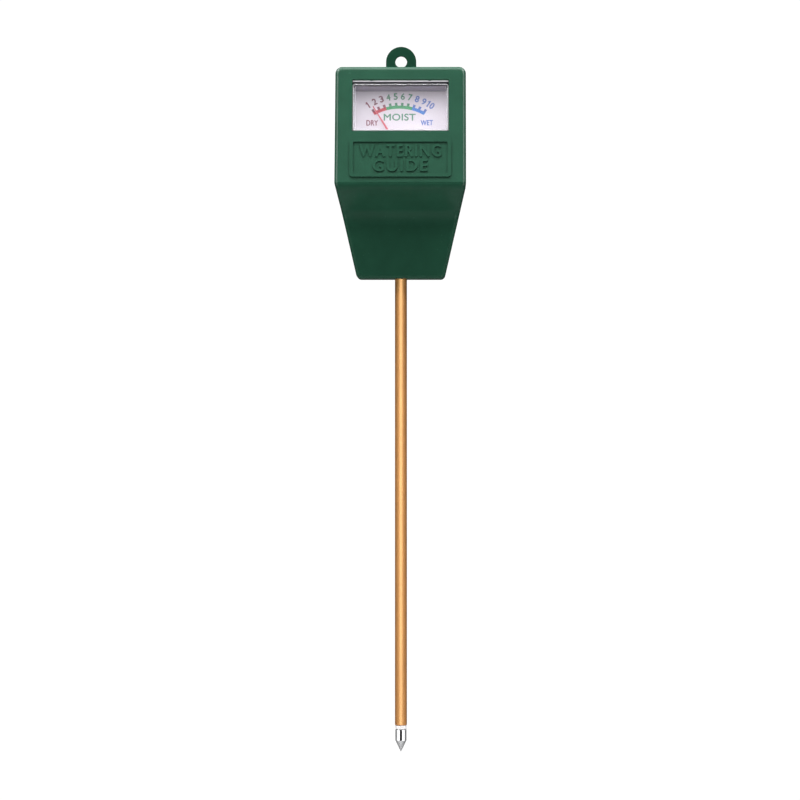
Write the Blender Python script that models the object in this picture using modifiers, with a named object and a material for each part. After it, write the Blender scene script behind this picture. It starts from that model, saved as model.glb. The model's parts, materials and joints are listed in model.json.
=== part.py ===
"""Soil moisture sensor: a slim two-metal probe under a sloping head that holds a moving-coil meter.

The origin is the probe's point, +Z runs up the probe, and the dial faces -Y. Every dimension below is
in millimetres, and the helpers scale it to metres.

The meter has a frame of its own, METER: its origin is on the pointer's axis at the face of the dial,
its X is the sensor's X, its Y runs into the head square to the sloping panel, and its Z climbs the panel.
"""

import math

import bmesh
import bpy
from mathutils import Matrix, Vector

MM = 0.001

# Clearances between pieces that touch or nearly touch.
GAP = 0.3
FIT = 0.15

# Head
HEAD_BOTTOM = 180.85
HEAD_TOP = 261.3
HEAD_HALF_WIDTH = 24.8
HEAD_BOTTOM_HALF_WIDTH = 16.65
HEAD_BACK = 9.5
SHOULDER = 216.2
TOP_CORNER_RADIUS = 2.6
BOTTOM_CORNER_RADIUS = 1.9
EDGE_RADIUS = 1.5
WALL = 2.0
COVER_FRONT = 6.8
SHELL_BACK = COVER_FRONT - GAP

# Sloping panel: it starts at the fold and leans back by TILT.
TILT = math.radians(18.7)
PANEL_Y = -26.5
PANEL_Z = 215.3
FOLD_BELOW_PANEL_START = 0.4
FOLD_RADIUS = 2.4
CHIN_Y = -9.0
CHIN_SLOPE = math.radians(29.6)
CHIN_RADIUS = 8.0
HEAD_BOTTOM_FRONT = -8.5

# Openings and raised frame of the panel, by their height along the panel
WINDOW_HALF_WIDTH = 18.3
WINDOW_LOW, WINDOW_HIGH = 22.1, 43.3
RIM_HALF_WIDTH = 19.2
RIM_LOW, RIM_HIGH = 3.3, 18.85
RIM_WIDTH = 1.35
RIM_HEIGHT = 0.5

# Meter
PIVOT_HEIGHT = 16.3
DIAL_DEPTH = 7.0
METER_HALF_WIDTH = 19.15
COVER_WALL = 0.8
METER_TOP = 30.5
METER_BOTTOM = -12.5
BASE_FRONT, BASE_BACK = 1.6, 3.2
SHEET = 0.5
REST_ANGLE = math.radians(-30.0)
STOP_ANGLE = math.radians(40.5)
STOP_RADIUS = 7.5
POINTER_LENGTH = 21.0
POINTER_FRONT, POINTER_BACK = -1.45, -1.05
ARM_LENGTH = 5.3
TAIL_LENGTH = 6.0
YOKE_INNER, YOKE_OUTER = 6.9, 10.5
YOKE_FRONT, YOKE_BACK = 3.5, 11.5
CORE_RADIUS = 4.2
CORE_FRONT, CORE_BACK = 4.5, 10.5
BRIDGE_LEG_X = 8.8
BRIDGE_HALF_LENGTH = 10.4
METER_SCREW_AT = (16.0, -9.0)
DIAL_SCREW_AT = (15.3, 1.0)
TAG_AT = (11.5, -8.0)

# Probe
TUBE_RADIUS = 2.3
TUBE_BORE = 1.8
TUBE_BOTTOM, TUBE_TOP = 10.2, 197.0
ROD_RADIUS = 0.8
ROD_TOP = 203.5
TIP_RADIUS = 2.1
TIP_SHOULDER = 4.25
TIP_TOP = 8.5
RING_RADIUS = 2.2
SOCKET_RADIUS = 3.5
SOCKET_TOP = 193.0

# Hanging loop and screws of the case
LOOP_CENTRE = 264.7
LOOP_RADIUS = 5.82
LOOP_HOLE = 2.25
CASE_SCREWS = {
    "upper_left": (-21.4, 257.2, 2.1),
    "upper_right": (21.4, 257.2, 2.1),
    "lower_left": (-11.4, 186.9, 2.4),
    "lower_right": (11.4, 186.9, 2.4),
}
SIDES = {"left": -1, "right": 1}

# name: colour, roughness, metallic, alpha
LOOKS = {
    "green_plastic": ((0.030, 0.105, 0.062), 0.45, 0.0, 1.0),
    "clear_plastic": ((0.92, 0.95, 0.97), 0.05, 0.0, 0.25),
    "black_plastic": ((0.03, 0.03, 0.032), 0.5, 0.0, 1.0),
    "dial_white": ((0.80, 0.78, 0.86), 0.5, 0.0, 1.0),
    "steel": ((0.62, 0.62, 0.64), 0.3, 1.0, 1.0),
    "iron": ((0.32, 0.32, 0.34), 0.5, 1.0, 1.0),
    "magnet": ((0.20, 0.20, 0.22), 0.55, 1.0, 1.0),
    "brass": ((0.75, 0.56, 0.25), 0.35, 1.0, 1.0),
    "aluminium": ((0.80, 0.80, 0.82), 0.35, 1.0, 1.0),
    "copper_winding": ((0.72, 0.32, 0.16), 0.4, 1.0, 1.0),
    "copper_tube": ((0.85, 0.50, 0.28), 0.35, 1.0, 1.0),
    "bright_tip": ((0.85, 0.86, 0.88), 0.12, 1.0, 1.0),
    "ring_plastic": ((0.78, 0.80, 0.82), 0.3, 0.0, 1.0),
    "liner_plastic": ((0.85, 0.84, 0.80), 0.4, 0.0, 1.0),
    "pointer_red": ((0.80, 0.10, 0.14), 0.4, 0.0, 1.0),
    "wire_red": ((0.60, 0.03, 0.03), 0.4, 0.0, 1.0),
    "wire_black": ((0.02, 0.02, 0.02), 0.4, 0.0, 1.0),
    "resistor_tan": ((0.62, 0.48, 0.32), 0.45, 0.0, 1.0),
}


def clear_scene():
    for obj in list(bpy.data.objects):
        bpy.data.objects.remove(obj)


def make_look(name):
    colour, roughness, metallic, alpha = LOOKS[name]
    look = bpy.data.materials.new(name)
    look.use_nodes = True
    shader = look.node_tree.nodes["Principled BSDF"]
    shader.inputs["Base Color"].default_value = (*colour, 1.0)
    shader.inputs["Roughness"].default_value = roughness
    shader.inputs["Metallic"].default_value = metallic
    shader.inputs["Alpha"].default_value = alpha
    return look


def new_collection(name, hidden=False):
    collection = bpy.data.collections.new(name)
    collection.hide_render = hidden
    bpy.context.scene.collection.children.link(collection)
    return collection


def new_frame(name, parent=None):
    frame = bpy.data.objects.new(name, None)
    frame.empty_display_size = 5 * MM
    frame.parent = parent
    PARTS.objects.link(frame)
    return frame


def put(name, data, look=None, frame=None):
    """Makes an object: a piece when it has a look, or else a cutter."""
    obj = bpy.data.objects.new(name, data)
    obj.parent = frame
    if look:
        data.materials.append(MATERIALS[look])
        PARTS.objects.link(obj)
    else:
        obj.hide_render = True
        obj.display_type = "WIRE"
        CUTTERS.objects.link(obj)
    return obj


# The exact solver leaves open edges in these, where many small cuts meet a bevelled wall.
MANIFOLD_SOLVED = ("front_shell", "rear_cover")


def boolean(obj, operation, *others):
    for other in others:
        modifier = obj.modifiers.new(operation.title(), "BOOLEAN")
        modifier.operation = operation
        modifier.solver = "MANIFOLD" if obj.name in MANIFOLD_SOLVED else "EXACT"
        modifier.object = other
    return obj


def cut(obj, *cutters):
    return boolean(obj, "DIFFERENCE", *cutters)


def join(obj, *others):
    return boolean(obj, "UNION", *others)


def bevel(obj, width, segments=2):
    modifier = obj.modifiers.new("Bevel", "BEVEL")
    modifier.width = width * MM
    modifier.segments = segments
    modifier.limit_method = "ANGLE"
    modifier.angle_limit = math.radians(35)
    return obj


def box(name, low, high, look=None, frame=None):
    mesh = bpy.data.meshes.new(name)
    shape = bmesh.new()
    bmesh.ops.create_cube(shape, size=1.0)
    low, high = Vector(low) * MM, Vector(high) * MM
    scale = Matrix.Diagonal((*(high - low), 1.0))
    bmesh.ops.transform(shape, matrix=Matrix.Translation((low + high) / 2) @ scale, verts=shape.verts)
    shape.to_mesh(mesh)
    shape.free()
    return put(name, mesh, look, frame)


TURNED_ABOUT = {
    "Z": Matrix.Identity(4),
    "Y": Matrix.Rotation(-math.pi / 2, 4, "X"),
    "X": Matrix.Rotation(math.pi / 2, 4, "Y"),
}


def turned(name, outline, about="Z", at=(0, 0, 0), steps=16, closed=False, look=None, frame=None):
    """Turns an outline of (radius, height) points, given from its top down its outer side."""
    mesh = bpy.data.meshes.new(name)
    points = [(radius * MM, 0, height * MM) for radius, height in outline]
    edges = [(i, i + 1) for i in range(len(points) - 1)]
    if closed:
        edges.append((len(points) - 1, 0))
    mesh.from_pydata(points, edges, [])
    obj = put(name, mesh, look, frame)
    obj.matrix_local = Matrix.Translation(Vector(at) * MM) @ TURNED_ABOUT[about]
    screw = obj.modifiers.new("Turn", "SCREW")
    screw.steps = screw.render_steps = steps
    screw.use_merge_vertices = True
    screw.merge_threshold = 1e-6
    return obj


def peg(name, radius, low, high, **place):
    return turned(name, [(0, high), (radius, high), (radius, low), (0, low)], **place)


def ring(name, inner, outer, low, high, **place):
    outline = [(inner, high), (outer, high), (outer, low), (inner, low)]
    return turned(name, outline, closed=True, **place)


def rounded(corners, steps=4):
    """Outline points from (a, b, radius) corners, each corner made an arc of its radius."""
    points = []
    for before, corner, after in zip(corners[-1:] + corners[:-1], corners, corners[1:] + corners[:1]):
        here, radius = Vector(corner[:2]), corner[2]
        if radius <= 0:
            points.append(here)
            continue
        back = (Vector(before[:2]) - here).normalized()
        ahead = (Vector(after[:2]) - here).normalized()
        half = back.angle(ahead) / 2
        centre = here + (back + ahead).normalized() * (radius / math.sin(half))
        start = here + back * (radius / math.tan(half)) - centre
        end = here + ahead * (radius / math.tan(half)) - centre
        points += [centre + start.slerp(end, i / steps).normalized() * radius for i in range(steps + 1)]
    return points


def inset(corners, distance):
    """The corners of an anticlockwise outline, moved inwards by one distance."""
    moved = []
    for before, corner, after in zip(corners[-1:] + corners[:-1], corners, corners[1:] + corners[:1]):
        here = Vector(corner[:2])
        ahead = (Vector(after[:2]) - here).normalized()
        behind = (here - Vector(before[:2])).normalized()
        turn = behind.x * ahead.y - behind.y * ahead.x
        normal = Vector((-behind.y, behind.x)) + Vector((-ahead.y, ahead.x))
        here += normal * (distance / (1 + behind.dot(ahead)))
        radius = corner[2] - distance if turn > 0 else corner[2] + distance
        moved.append((here.x, here.y, max(0.0, radius) if corner[2] else 0.0))
    return moved


def rectangle(half_width, low, high, radius=0.0):
    return rounded(
        [
            (-half_width, low, radius),
            (half_width, low, radius),
            (half_width, high, radius),
            (-half_width, high, radius),
        ]
    )


SLAB_TURN = {
    "X": Matrix(((0, 0, 1, 0), (1, 0, 0, 0), (0, 1, 0, 0), (0, 0, 0, 1))),
    "Y": Matrix(((1, 0, 0, 0), (0, 0, -1, 0), (0, 1, 0, 0), (0, 0, 0, 1))),
    "Z": Matrix.Identity(4),
}


def slab(name, outlines, low, high, along="Y", look=None, frame=None):
    """Flat outlines, the first outer and the rest holes, made solid from low to high along an axis.

    An outline's two coordinates are the other two axes, in X, Y, Z order.
    """
    curve = bpy.data.curves.new(name, "CURVE")
    curve.dimensions = "2D"
    curve.fill_mode = "BOTH"
    curve.extrude = (high - low) / 2 * MM
    for outline in outlines:
        spline = curve.splines.new("POLY")
        spline.points.add(len(outline) - 1)
        for point, (a, b) in zip(spline.points, outline):
            point.co = (a * MM, b * MM, 0, 1)
        spline.use_cyclic_u = True
    guide = bpy.data.objects.new(name + "_guide", curve)
    bpy.context.scene.collection.objects.link(guide)
    graph = bpy.context.evaluated_depsgraph_get()
    mesh = bpy.data.meshes.new_from_object(guide.evaluated_get(graph))
    bpy.data.objects.remove(guide)
    middle = (low + high) / 2 * MM
    offset = {"X": (middle, 0, 0), "Y": (0, middle, 0), "Z": (0, 0, middle)}[along]
    shape = bmesh.new()
    shape.from_mesh(mesh)
    bmesh.ops.remove_doubles(shape, verts=shape.verts, dist=1e-7)
    bmesh.ops.dissolve_limit(
        shape, angle_limit=math.radians(1), verts=shape.verts, edges=shape.edges
    )
    bmesh.ops.transform(shape, matrix=Matrix.Translation(offset) @ SLAB_TURN[along], verts=shape.verts)
    bmesh.ops.recalc_face_normals(shape, faces=shape.faces)
    shape.to_mesh(mesh)
    shape.free()
    mesh.name = name
    mesh.materials.clear()
    return put(name, mesh, look, frame)


# Head --------------------------------------------------------------------------------------------


def side_profile(back):
    """The head seen from the side, as (y, z) corners with their radii, anticlockwise."""
    fold_y = PANEL_Y - FOLD_BELOW_PANEL_START * math.sin(TILT)
    fold_z = PANEL_Z - FOLD_BELOW_PANEL_START * math.cos(TILT)
    chin_z = fold_z - (CHIN_Y - fold_y) * math.tan(CHIN_SLOPE)
    panel_top_y = PANEL_Y + (HEAD_TOP - PANEL_Z) * math.tan(TILT)
    return [
        (HEAD_BOTTOM_FRONT, HEAD_BOTTOM, 0.0),
        (back, HEAD_BOTTOM, 0.0),
        (back, HEAD_TOP, 0.0),
        (panel_top_y, HEAD_TOP, 0.0),
        (fold_y, fold_z, FOLD_RADIUS),
        (CHIN_Y, chin_z, CHIN_RADIUS),
    ]


def front_outline():
    """The head seen from the front, as (x, z) corners with their radii, anticlockwise."""
    right = [
        (HEAD_BOTTOM_HALF_WIDTH, HEAD_BOTTOM, BOTTOM_CORNER_RADIUS),
        (HEAD_HALF_WIDTH, SHOULDER, 0.0),
        (HEAD_HALF_WIDTH, HEAD_TOP, TOP_CORNER_RADIUS),
    ]
    return right + [(-x, z, radius) for x, z, radius in reversed(right)]


def head_form(name, profile, outline, look=None):
    form = slab(name, [rounded(profile)], -30, 30, "X", look=look)
    width = slab(name + "_width", [rounded(outline)], -40, 30, "Y")
    return boolean(form, "INTERSECT", width)


def case_bosses():
    bosses = []
    for place, (x, z, radius) in CASE_SCREWS.items():
        front = -11.0 if "upper" in place else -7.5
        name = "boss_" + place
        bosses.append(peg(name, radius, front, SHELL_BACK - GAP, about="Y", at=(x, 0, z)))
    return bosses


def front_shell():
    """Front half of the case: walls, panel, chin, probe socket and every boss, moulded in one."""
    shell = head_form("front_shell", side_profile(HEAD_BACK), front_outline(), "green_plastic")
    bevel(shell, EDGE_RADIUS)
    hollow = head_form(
        "shell_hollow", inset(side_profile(HEAD_BACK + 9), WALL), inset(front_outline(), WALL)
    )
    cut(shell, box("behind_shell", (-40, SHELL_BACK, 170), (40, 40, 280)), hollow)
    low, high = WINDOW_LOW - PIVOT_HEIGHT, WINDOW_HIGH - PIVOT_HEIGHT
    opening = rectangle(WINDOW_HALF_WIDTH, low, high)
    cut(shell, slab("window_opening", [opening], -DIAL_DEPTH - 3, -DIAL_DEPTH + 4, frame=METER))
    low, high = RIM_LOW - PIVOT_HEIGHT, RIM_HIGH - PIVOT_HEIGHT
    outer = rectangle(RIM_HALF_WIDTH, low, high, 1.2)
    inner = rectangle(RIM_HALF_WIDTH - RIM_WIDTH, low + RIM_WIDTH, high - RIM_WIDTH, 0.5)
    rim = slab("panel_rim", [outer, inner], -DIAL_DEPTH - RIM_HEIGHT, -DIAL_DEPTH + 1, frame=METER)
    join(shell, rim, *case_bosses())
    join(shell, peg("socket_boss", SOCKET_RADIUS, HEAD_BOTTOM + 1, SOCKET_TOP, steps=24))
    join(shell, box("socket_web", (-0.9, -7.6, HEAD_BOTTOM + 1), (0.9, 1 - SOCKET_RADIUS, SOCKET_TOP - 1)))
    join(shell, box("stop_rib", (-4, -7.6, TUBE_TOP + GAP), (4, 3.5, TUBE_TOP + GAP + WALL)))
    x, z = METER_SCREW_AT
    for side, sign in SIDES.items():
        place = {"about": "Y", "at": (sign * x, 0, z), "frame": METER}
        join(shell, peg("meter_post_" + side, 2.2, -DIAL_DEPTH + 1, BASE_FRONT - GAP, **place))
        cut(shell, peg("meter_post_bore_" + side, 0.95, -3.8, BASE_BACK, steps=12, **place))
    for place, (x, z, _) in CASE_SCREWS.items():
        bore = {"about": "Y", "at": (x, 0, z), "steps": 12}
        cut(shell, peg("boss_bore_" + place, 1.25, -6.0, HEAD_BACK, **bore))
    cut(shell, peg("socket_bore", TUBE_RADIUS + FIT, HEAD_BOTTOM - 2, SOCKET_TOP + 2, steps=32))
    cut(shell, peg("rod_bore", ROD_RADIUS + GAP, TUBE_TOP - 1, TUBE_TOP + 4, steps=16))


def rear_cover():
    """Back of the case, with the lip that enters the shell and the loop that it hangs by."""
    cover = head_form("rear_cover", side_profile(HEAD_BACK), front_outline(), "green_plastic")
    bevel(cover, EDGE_RADIUS)
    cut(cover, box("before_cover", (-40, -60, 170), (40, COVER_FRONT, 280)))
    lip_outer = rounded(inset(front_outline(), WALL + GAP))
    lip_inner = rounded(inset(front_outline(), WALL + GAP + 1.2))
    join(cover, slab("cover_lip", [lip_outer, lip_inner], COVER_FRONT - 3, COVER_FRONT + 1))
    top = [
        Vector((math.cos(i * math.pi / 16), math.sin(i * math.pi / 16))) * LOOP_RADIUS
        + Vector((0, LOOP_CENTRE))
        for i in range(17)
    ]
    foot = HEAD_TOP + 0.1
    flare = [(8.0, foot, 0.0), (LOOP_RADIUS, foot, 1.4), (LOOP_RADIUS, LOOP_CENTRE, 0.0)]
    right = rounded(flare + [(0, LOOP_CENTRE, 0.0)])[:-2]
    left = [Vector((-point[0], point[1])) for point in reversed(right)]
    root = [Vector((-8.0, HEAD_TOP - 3)), Vector((8.0, HEAD_TOP - 3))]
    loop = slab("loop", [root + right + top + left], COVER_FRONT + 0.1, HEAD_BACK - 0.1)
    join(cover, loop)
    at = (0, 0, LOOP_CENTRE)
    cut(cover, peg("loop_hole", LOOP_HOLE, 0, 20, about="Y", at=at, steps=24))
    for place, (x, z, radius) in CASE_SCREWS.items():
        at = {"about": "Y", "at": (x, 0, z)}
        cut(cover, peg("screw_hole_" + place, 1.4, 0, 20, steps=12, **at))
        cut(cover, peg("screw_recess_" + place, 2.4, HEAD_BACK - 1.5, 20, **at))
        if "upper" in place:
            cut(cover, peg("lip_notch_" + place, radius + GAP, 0, SHELL_BACK, **at))


def screw_outline(head_radius, head_height, shank_radius, length):
    """A pan-head screw whose head's underside is at height 0 and whose point hangs below."""
    slot = head_radius * 0.45
    return [
        (0, head_height - 0.35 * head_height),
        (slot, head_height),
        (head_radius * 0.8, head_height),
        (head_radius, head_height * 0.55),
        (head_radius, 0),
        (shank_radius, 0),
        (shank_radius, shank_radius - length),
        (0, -length),
    ]


def case_screws():
    for place, (x, z, _) in CASE_SCREWS.items():
        under_head = HEAD_BACK - 1.5 + FIT
        outline = screw_outline(2.1, 1.2, 1.1, 12.0)
        at = (x, under_head, z)
        turned("case_screw_" + place, outline, "Y", at, steps=12, look="steel")


# Probe -------------------------------------------------------------------------------------------


def probe():
    """Tip, insulating ring, copper tube, liner and centre rod, and what holds them in the socket."""
    bore = ROD_RADIUS + FIT
    tip = [
        (0, TIP_TOP - 3),
        (bore, TIP_TOP - 3),
        (bore, TIP_TOP),
        (TIP_RADIUS, TIP_TOP),
        (TIP_RADIUS, TIP_SHOULDER),
        (TIP_RADIUS - 0.25, TIP_SHOULDER - 0.25),
        (0, 0),
    ]
    turned("probe_tip", tip, steps=32, look="bright_tip")
    sleeve = TUBE_BORE - FIT
    insulator = [
        (bore, 14.0),
        (sleeve, 14.0),
        (sleeve, TUBE_BOTTOM - FIT),
        (RING_RADIUS, TUBE_BOTTOM - FIT),
        (RING_RADIUS, TIP_TOP + FIT),
        (bore, TIP_TOP + FIT),
    ]
    turned("tip_insulator", insulator, steps=32, closed=True, look="ring_plastic")
    ring("probe_tube", TUBE_BORE, TUBE_RADIUS, TUBE_BOTTOM, TUBE_TOP, steps=32, look="copper_tube")
    ring("probe_liner", bore, sleeve, 14.0 + GAP, TUBE_TOP, steps=16, look="liner_plastic")
    rod = [(0, ROD_TOP), (0.6, ROD_TOP), (ROD_RADIUS, ROD_TOP - 0.2), (ROD_RADIUS, 5.8), (0, 5.8)]
    turned("centre_rod", rod, steps=16, look="steel")
    clip_low = SOCKET_TOP + GAP
    around_tube = TUBE_RADIUS + FIT
    ring("probe_clip", around_tube, 4.4, clip_low, clip_low + 0.6, steps=24, look="steel")
    tag_low = clip_low + 0.6 + GAP
    tag = ring("tube_solder_tag", around_tube, 4.1, tag_low, tag_low + SHEET, steps=24, look="brass")
    join(tag, box("solder_ear", (-8.4, -1.2, tag_low + 0.02), (-3.2, 1.2, tag_low + SHEET - 0.02)))


# Meter -------------------------------------------------------------------------------------------


def meter_cover():
    """Clear cover: a raised window, a flange behind the panel, and walls on three sides of the dial."""
    front, flange_back = -DIAL_DEPTH + 0.7, -DIAL_DEPTH + 3.3
    low = (-METER_HALF_WIDTH, flange_back - 1, WINDOW_LOW - PIVOT_HEIGHT - 1.1)
    cover = box(
        "meter_cover", low, (METER_HALF_WIDTH, BASE_FRONT - GAP, METER_TOP), "clear_plastic", METER
    )
    inside = METER_HALF_WIDTH - COVER_WALL
    cut(cover, box("cover_room", (-inside, flange_back, 0), (inside, 3, METER_TOP - 1), frame=METER))
    high = WINDOW_HIGH - PIVOT_HEIGHT - 1.4
    low = WINDOW_LOW - PIVOT_HEIGHT + FIT
    raised = rectangle(WINDOW_HALF_WIDTH - FIT, low, high, 0.6)
    pocket = rectangle(WINDOW_HALF_WIDTH - FIT - 1, low + 1, high - 1)
    join(cover, slab("raised_window", [raised], front, flange_back - 0.5, frame=METER))
    cut(cover, slab("window_pocket", [pocket], front + 1, flange_back + 1, frame=METER))


def meter_base():
    """Moulded chassis that carries the dial, the iron ring and both bridges."""
    outline = rectangle(METER_HALF_WIDTH, METER_BOTTOM, METER_TOP)
    base = slab("meter_base", [outline], BASE_FRONT, BASE_BACK, look="black_plastic", frame=METER)
    supports = {"low": DIAL_SCREW_AT, "high": (14.0, 26.5)}
    holes = [(BRIDGE_LEG_X, 0, 0.85), (*METER_SCREW_AT, 0.95), (*TAG_AT, 0.9), (*DIAL_SCREW_AT, 0.7)]
    for side, sign in SIDES.items():
        for level, (x, z) in supports.items():
            at = (sign * x, 0, z)
            name = f"dial_support_{level}_{side}"
            join(base, peg(name, 1.6, SHEET + GAP, 2.4, about="Y", at=at, frame=METER))
        for number, (x, z, radius) in enumerate(holes):
            at = (sign * x, 0, z)
            name = f"base_hole_{number}_{side}"
            cut(base, peg(name, radius, -1, 6, about="Y", at=at, steps=12, frame=METER))
    cut(base, peg("coil_hole", 7.0, 0, 6, about="Y", steps=24, frame=METER))


def dial_plate():
    """Printed dial, cut away below for the movement, with the two stops of the pointer."""
    half, ear, top = METER_HALF_WIDTH - COVER_WALL - FIT, 13.2, METER_TOP - 1 - GAP
    outline = [(-half, -1), (-ear, -1), (-ear, 3), (ear, 3), (ear, -1), (half, -1), (half, top), (-half, top)]
    plate = slab("dial_plate", [outline], 0, SHEET, look="dial_white", frame=METER)
    x, z = DIAL_SCREW_AT
    for side, sign in SIDES.items():
        turn = sign * STOP_ANGLE
        at = (STOP_RADIUS * math.sin(turn), 0, STOP_RADIUS * math.cos(turn))
        join(plate, peg("stop_" + side, 0.4, -1.9, 0.3, about="Y", at=at, steps=12, frame=METER))
        at = (sign * x, 0, z)
        cut(plate, peg("dial_hole_" + side, 0.75, -2, 2, about="Y", at=at, steps=12, frame=METER))


def magnet_system():
    """Iron ring round a magnet core, held central by two spacers that leave the coil its gaps."""
    yoke = ring(
        "yoke_ring", YOKE_INNER, YOKE_OUTER, YOKE_FRONT, YOKE_BACK,
        about="Y", steps=32, look="iron", frame=METER,
    )
    for side, sign in SIDES.items():
        at = (sign * BRIDGE_LEG_X, 0, 0)
        cut(yoke, peg("yoke_hole_" + side, 0.85, 0, 15, about="Y", at=at, steps=12, frame=METER))
    edge = CORE_RADIUS - 0.3
    core = [
        (0, CORE_BACK),
        (edge, CORE_BACK),
        (CORE_RADIUS, CORE_BACK - 0.3),
        (CORE_RADIUS, CORE_FRONT + 0.3),
        (edge, CORE_FRONT),
        (0, CORE_FRONT),
    ]
    turned("core_magnet", core, "Y", steps=32, look="magnet", frame=METER)
    for name, middle in (("core_spacer_upper", math.pi / 2), ("core_spacer_lower", -math.pi / 2)):
        turns = [middle + math.radians(22) * i / 4 for i in range(-4, 5)]
        outer = [Vector((math.cos(t), math.sin(t))) * (YOKE_INNER - FIT) for t in turns]
        inner = [Vector((math.cos(t), math.sin(t))) * (CORE_RADIUS + FIT) for t in reversed(turns)]
        slab(name, [outer + inner], CORE_FRONT, CORE_BACK, look="aluminium", frame=METER)


def bridge(name, bar_low, bar_high, leg_low, leg_high, half_height):
    """A bar across the movement on two legs, drilled for its screws and for the bearing screw."""
    low = (-BRIDGE_HALF_LENGTH, bar_low, -half_height)
    bar = box(name, low, (BRIDGE_HALF_LENGTH, bar_high, half_height), "brass", METER)
    for side, sign in SIDES.items():
        ends = sorted((sign * (2 * BRIDGE_LEG_X - BRIDGE_HALF_LENGTH), sign * BRIDGE_HALF_LENGTH))
        near = (ends[0], leg_low, -half_height)
        far = (ends[1], leg_high, half_height)
        join(bar, box(f"{name}_leg_{side}", near, far, frame=METER))
        at = (sign * BRIDGE_LEG_X, 0, 0)
        cut(bar, peg(f"{name}_hole_{side}", 0.85, -9, 20, about="Y", at=at, steps=12, frame=METER))
    cut(bar, peg(name + "_bearing_hole", 1.35, -9, 20, about="Y", steps=16, frame=METER))
    return bar


def bridges():
    front = bridge("front_bridge", -4.2, -3.2, -3.7, BASE_FRONT - GAP, 2.2)
    for side, sign in SIDES.items():
        at = (sign * BRIDGE_LEG_X, 0, 0)
        recess = peg("bridge_recess_" + side, 1.5, -6, -3.4, about="Y", at=at, frame=METER)
        cut(front, recess)
    rear = bridge("rear_bridge", 15.0, 16.2, YOKE_BACK + GAP, 15.5, 2.0)
    join(rear, box("rear_stud", (3.5, 13.0, -0.35), (3.9, 15.2, 0.35), frame=METER))


def bearing_screws():
    """Slotted screws whose cupped ends carry the needle-sharp pivots."""
    front = [(0, -3.1), (0.6, -2.5), (1.2, -2.5), (1.2, -4.5), (0.9, -4.8), (0, -4.8)]
    rear = [(0, 16.9), (0.9, 16.9), (1.2, 16.6), (1.2, 14.65), (0.6, 14.65), (0, 15.25)]
    turned("front_jewel_screw", front, "Y", look="brass", frame=METER)
    turned("rear_jewel_screw", rear, "Y", look="brass", frame=METER)


def flip(outline):
    """The same turned outline pointing the other way, still read from its top down."""
    return [(radius, -height) for radius, height in reversed(outline)]


def meter_screws():
    for side, sign in SIDES.items():
        x, z = METER_SCREW_AT
        outline = screw_outline(1.6, 1.1, 0.8, 6.5)
        at = (sign * x, BASE_BACK + FIT, z)
        turned("meter_screw_" + side, outline, "Y", at, steps=12, look="steel", frame=METER)
        x, z = DIAL_SCREW_AT
        outline = flip(screw_outline(1.5, 0.7, 0.55, 3.0))
        at = (sign * x, -FIT, z)
        turned("dial_screw_" + side, outline, "Y", at, steps=12, look="steel", frame=METER)
        outline = flip(screw_outline(1.3, 0.65, 0.7, 10.0))
        at = (sign * BRIDGE_LEG_X, -3.4 - FIT + 0.05, 0)
        turned("front_bridge_screw_" + side, outline, "Y", at, steps=12, look="steel", frame=METER)
        outline = screw_outline(1.4, 0.8, 0.7, 8.0)
        at = (sign * BRIDGE_LEG_X, 16.2 + FIT, 0)
        turned("rear_bridge_screw_" + side, outline, "Y", at, steps=12, look="steel", frame=METER)


def terminals():
    """The two solder tags of the meter, and the resistor across them that sets its range."""
    x, z = TAG_AT
    for name, sign in (("terminal_tag_negative", -1), ("terminal_tag_positive", 1)):
        ends = sorted((sign * (x - 1.6), sign * (x + 1.6)))
        low = (ends[0], BASE_BACK + GAP, z - 4.3)
        tag = box(name, low, (ends[1], BASE_BACK + GAP + SHEET, z + 1.6), "brass", METER)
        at = (sign * x, 0, z)
        join(tag, peg(name + "_peg", 0.75, BASE_FRONT + 0.1, 3.7, about="Y", at=at, steps=12, frame=METER))
    outline = [
        (0, 11.8), (0.3, 11.8), (0.3, 3.4), (0.9, 3.4), (1.25, 3.1), (1.25, 2.2), (1.05, 1.9),
        (1.05, -1.9), (1.25, -2.2), (1.25, -3.1), (0.9, -3.4), (0.3, -3.4), (0.3, -11.8), (0, -11.8),
    ]
    at = (0, BASE_BACK + 1.4, METER_BOTTOM + 0.5)
    turned("shunt_resistor", outline, "X", at, steps=12, look="resistor_tan", frame=METER)


def hairspring(name, low, high):
    """A flat spiral strip of three turns, wound about the pointer's axis."""
    turns, per_turn, first, last, thickness = 3, 14, 1.0, 3.2, 0.12
    mesh = bpy.data.meshes.new(name)
    shape = bmesh.new()
    rows = []
    for i in range(turns * per_turn + 1):
        turn = 2 * math.pi * i / per_turn
        radius = first + (last - first) * i / (turns * per_turn)
        out = Vector((math.cos(turn), 0, math.sin(turn)))
        corners = ((radius, low), (radius + thickness, low), (radius + thickness, high), (radius, high))
        rows.append([shape.verts.new((out * r + Vector((0, y, 0))) * MM) for r, y in corners])
    for row, following in zip(rows, rows[1:]):
        for i in range(4):
            j = (i + 1) % 4
            shape.faces.new((row[i], row[j], following[j], following[i]))
    shape.faces.new(rows[0])
    shape.faces.new(reversed(rows[-1]))
    bmesh.ops.recalc_face_normals(shape, faces=shape.faces)
    shape.to_mesh(mesh)
    shape.free()
    return put(name, mesh, "brass", METER)


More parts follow.
